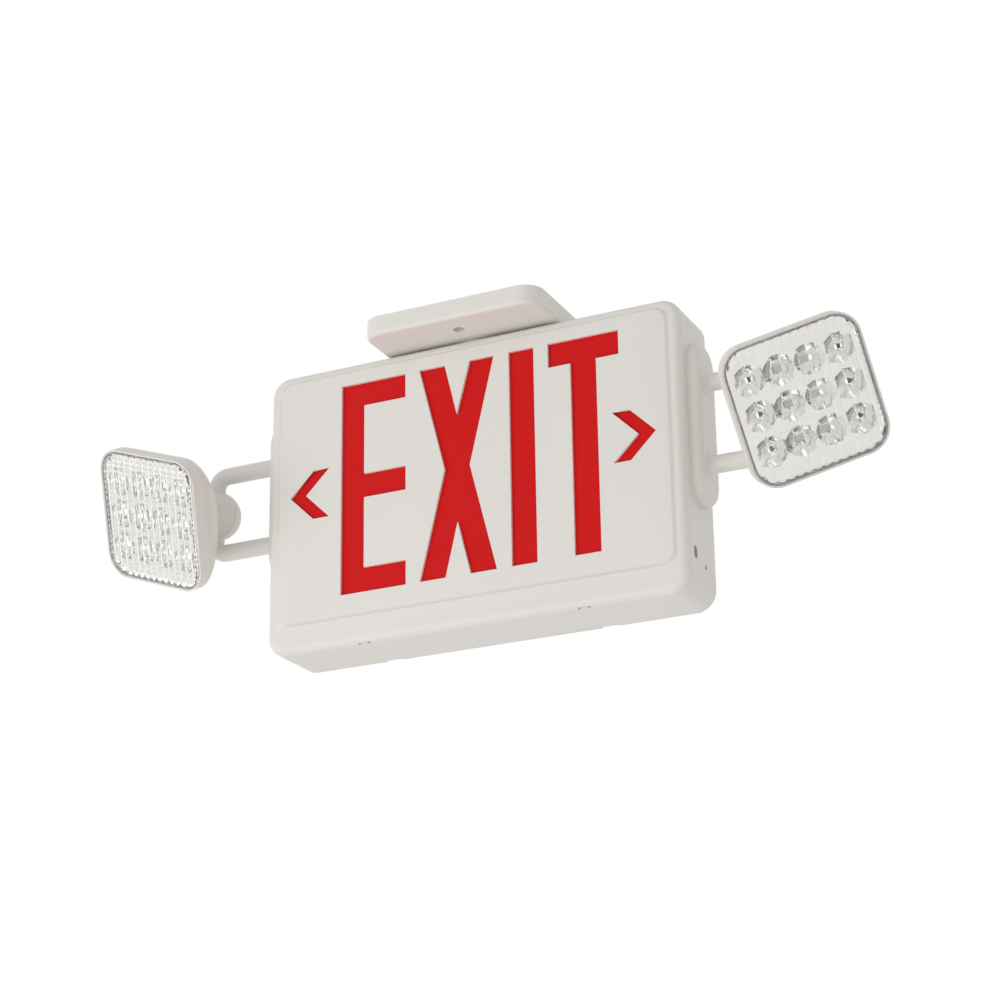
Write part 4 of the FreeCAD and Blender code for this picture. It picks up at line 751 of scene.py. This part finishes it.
def reflector_mesh(name, cups, matrix):
    """Parabolic cups in one metallised plate, with a rolled edge at each mouth."""
    plate_y = -SWIVEL_TO_RIM + PLATE_BEHIND_RIM
    half_x, half_z = cups.pitch_x / 2, cups.pitch_z / 2
    angles = cell_angles(half_x, half_z, CELL_STEPS)
    edge = [cell_edge(angle, half_x, half_z) for angle in angles]
    widest = cups.mouth - CUP_LIP
    circles = []
    for step in range(CUP_BANDS + 1):
        radius = cups.floor + (widest - cups.floor) * step / CUP_BANDS
        circles.append((radius, plate_y + cups.depth * (1 - (radius / cups.mouth) ** 2)))
    circles.append((cups.mouth, plate_y))
    points = []
    faces = []

    def add_rings(loops):
        ring_points, ring_faces = bridge(loops)
        offset = len(points)
        points.extend(ring_points)
        faces.extend(tuple(index + offset for index in face) for face in ring_faces)

    for column in range(cups.columns):
        for row in range(cups.rows):
            middle_x = (column - (cups.columns - 1) / 2) * cups.pitch_x
            middle_z = (row - (cups.rows - 1) / 2) * cups.pitch_z
            loops = [[(middle_x + radius * math.cos(angle), y, middle_z + radius * math.sin(angle))
                      for angle in angles] for radius, y in circles]
            loops.append([(middle_x + x, plate_y, middle_z + z) for x, z in edge])
            add_rings(loops)
    block_x, block_z = half_x * cups.columns, half_z * cups.rows
    border = rounded_square(PLATE_HALF, PLATE_CORNER)
    rim_y = plate_y + PLATE_STEP
    add_rings([
        [(max(-block_x, min(block_x, x)), rim_y, max(-block_z, min(block_z, z))) for x, z in border],
        [(x, rim_y, z) for x, z in border],
        [(x, rim_y - PLATE_FLANGE, z) for x, z in border],
    ])
    return mesh_from(name, [matrix @ Vector(point) for point in points], faces)


class EXITLIGHT_OT_reflectors(bpy.types.Operator):
    """Builds the metallised cups behind each lens"""
    bl_idname = "exitlight.reflectors"
    bl_label = "Reflectors"

    def execute(self, context):
        cups = context.scene.exit_light.cups
        for side in SIDES:
            mesh = reflector_mesh(f"{side}_reflector_cups", cups, lamp_frame(side))
            smooth_shading(mesh, 40.0)
            make_piece(f"{side}_reflector_cups", mesh, "reflector_silver", f"{side}_lamp",
                       f"{side}_lamp_reflector")
        return {"FINISHED"}


# ---- Finishes of the carried-over nodes ---------------------------------------------
class EXITLIGHT_OT_finishes(bpy.types.Operator):
    """Gives every remaining CAD node its finish and soft shading"""
    bl_idname = "exitlight.finishes"
    bl_label = "Finishes"

    def execute(self, context):
        slots = {part["node"]: part["material_slot"] for part in frame["record"]["subparts"]}
        for name, node in NODES.items():
            if node.hide_render:
                continue
            smooth_shading(node.data)
            if not node.material_slots:
                node.data.materials.append(None)
            for slot in node.material_slots:
                slot.material = finish_for(slots[name])
            weigh_normals(node)
        return {"FINISHED"}


# ---- Stage --------------------------------------------------------------------------
def add_lamp(name, place, size, power):
    """A soft square light aimed at the object's middle."""
    light = bpy.data.lights.new(name, "AREA")
    light.shape = "SQUARE"
    light.size = size
    light.energy = power
    obj = bpy.data.objects.new(name, light)
    bpy.context.scene.collection.objects.link(obj)
    obj.location = place
    obj.rotation_euler = (Vector(OBJECT_MIDDLE) - Vector(place)).to_track_quat("-Z", "Y").to_euler()


def add_camera():
    """Camera below and to the right of the sign, looking up at it."""
    camera = bpy.data.cameras.new("camera")
    camera.sensor_width = 36.0
    camera.lens = CAMERA_LENS
    obj = bpy.data.objects.new("camera", camera)
    bpy.context.scene.collection.objects.link(obj)
    place, aim = Vector(CAMERA_PLACE), Vector(CAMERA_AIM)
    level = (aim - place).to_track_quat("-Z", "Y").to_matrix()
    roll = Matrix.Rotation(math.radians(CAMERA_ROLL), 3, "Z")
    obj.matrix_world = Matrix.Translation(place) @ (level @ roll).to_4x4()
    bpy.context.scene.camera = obj


def white_to_camera(shader, lit, strength):
    """Background that is plain white to the eye and in gloss, and lights at another level."""
    visible = seen_directly(shader)
    plain = shader.add("ShaderNodeBackground", {}, {"Color": (1.0, 1.0, 1.0, 1.0), "Strength": 1.0})
    glow = shader.add("ShaderNodeBackground", {}, {"Color": lit, "Strength": strength})
    return shader.add("ShaderNodeMixShader", {}, {0: visible, 1: glow, 2: plain})


class EXITLIGHT_OT_stage(bpy.types.Operator):
    """Sets the floor, the soft lights, the world and the camera"""
    bl_idname = "exitlight.stage"
    bl_label = "Stage"

    def execute(self, context):
        scene = context.scene
        corners = [(x * FLOOR_REACH, y * FLOOR_REACH, FLOOR_Z)
                   for x, y in ((-1, -1), (1, -1), (1, 1), (-1, 1))]
        floor = bpy.data.objects.new("floor", mesh_from("floor", corners, [(0, 1, 2, 3)]))
        scene.collection.objects.link(floor)
        floor.data.materials.append(glowing_floor("pale_floor", (0.86, 0.86, 0.86), 0.12, 0.36))
        world = bpy.data.worlds.new("studio")
        scene.world = world
        world.use_nodes = True
        shader = Shader(world.node_tree)
        background = white_to_camera(shader, (1.0, 0.985, 0.96, 1.0), 0.62)
        shader.add("ShaderNodeOutputWorld", {}, {"Surface": background})
        add_lamp("key", (-1.9, -2.0, -0.2), 1.6, 14.0)
        add_lamp("under", (-0.2, -0.8, -1.15), 1.4, 4.8)
        add_camera()
        scene.view_settings.view_transform = "Standard"
        return {"FINISHED"}


class EXITLIGHT_PT_panel(bpy.types.Panel):
    """Sizes, colours and steps of the exit light"""
    bl_idname = "EXITLIGHT_PT_panel"
    bl_label = "Exit Light"
    bl_space_type = "VIEW_3D"
    bl_region_type = "UI"
    bl_category = "Exit Light"

    def draw(self, context):
        settings = context.scene.exit_light
        for group in (settings.legend, settings.lamp, settings.lens, settings.cups, settings.colours):
            box = self.layout.box()
            for name in group.__annotations__:
                box.prop(group, name)
        for step in STEPS:
            self.layout.operator(step.bl_idname)


SETTINGS = (LegendSettings, LampSettings, LensSettings, CupSettings, ColourSettings, ExitLightSettings)
STEPS = (EXITLIGHT_OT_stage, EXITLIGHT_OT_sign_face, EXITLIGHT_OT_lamp_shells, EXITLIGHT_OT_reflectors,
         EXITLIGHT_OT_lenses, EXITLIGHT_OT_finishes)


def register():
    for made in SETTINGS + STEPS + (EXITLIGHT_PT_panel,):
        bpy.utils.register_class(made)
    bpy.types.Scene.exit_light = PointerProperty(type=ExitLightSettings)


def unregister():
    del bpy.types.Scene.exit_light
    for made in reversed(SETTINGS + STEPS + (EXITLIGHT_PT_panel,)):
        bpy.utils.unregister_class(made)


def main():
    """Builds everything in order."""
    register()
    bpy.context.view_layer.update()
    for step in STEPS:
        group, name = step.bl_idname.split(".")
        getattr(getattr(bpy.ops, group), name)()


if __name__ == "__main__":
    main()
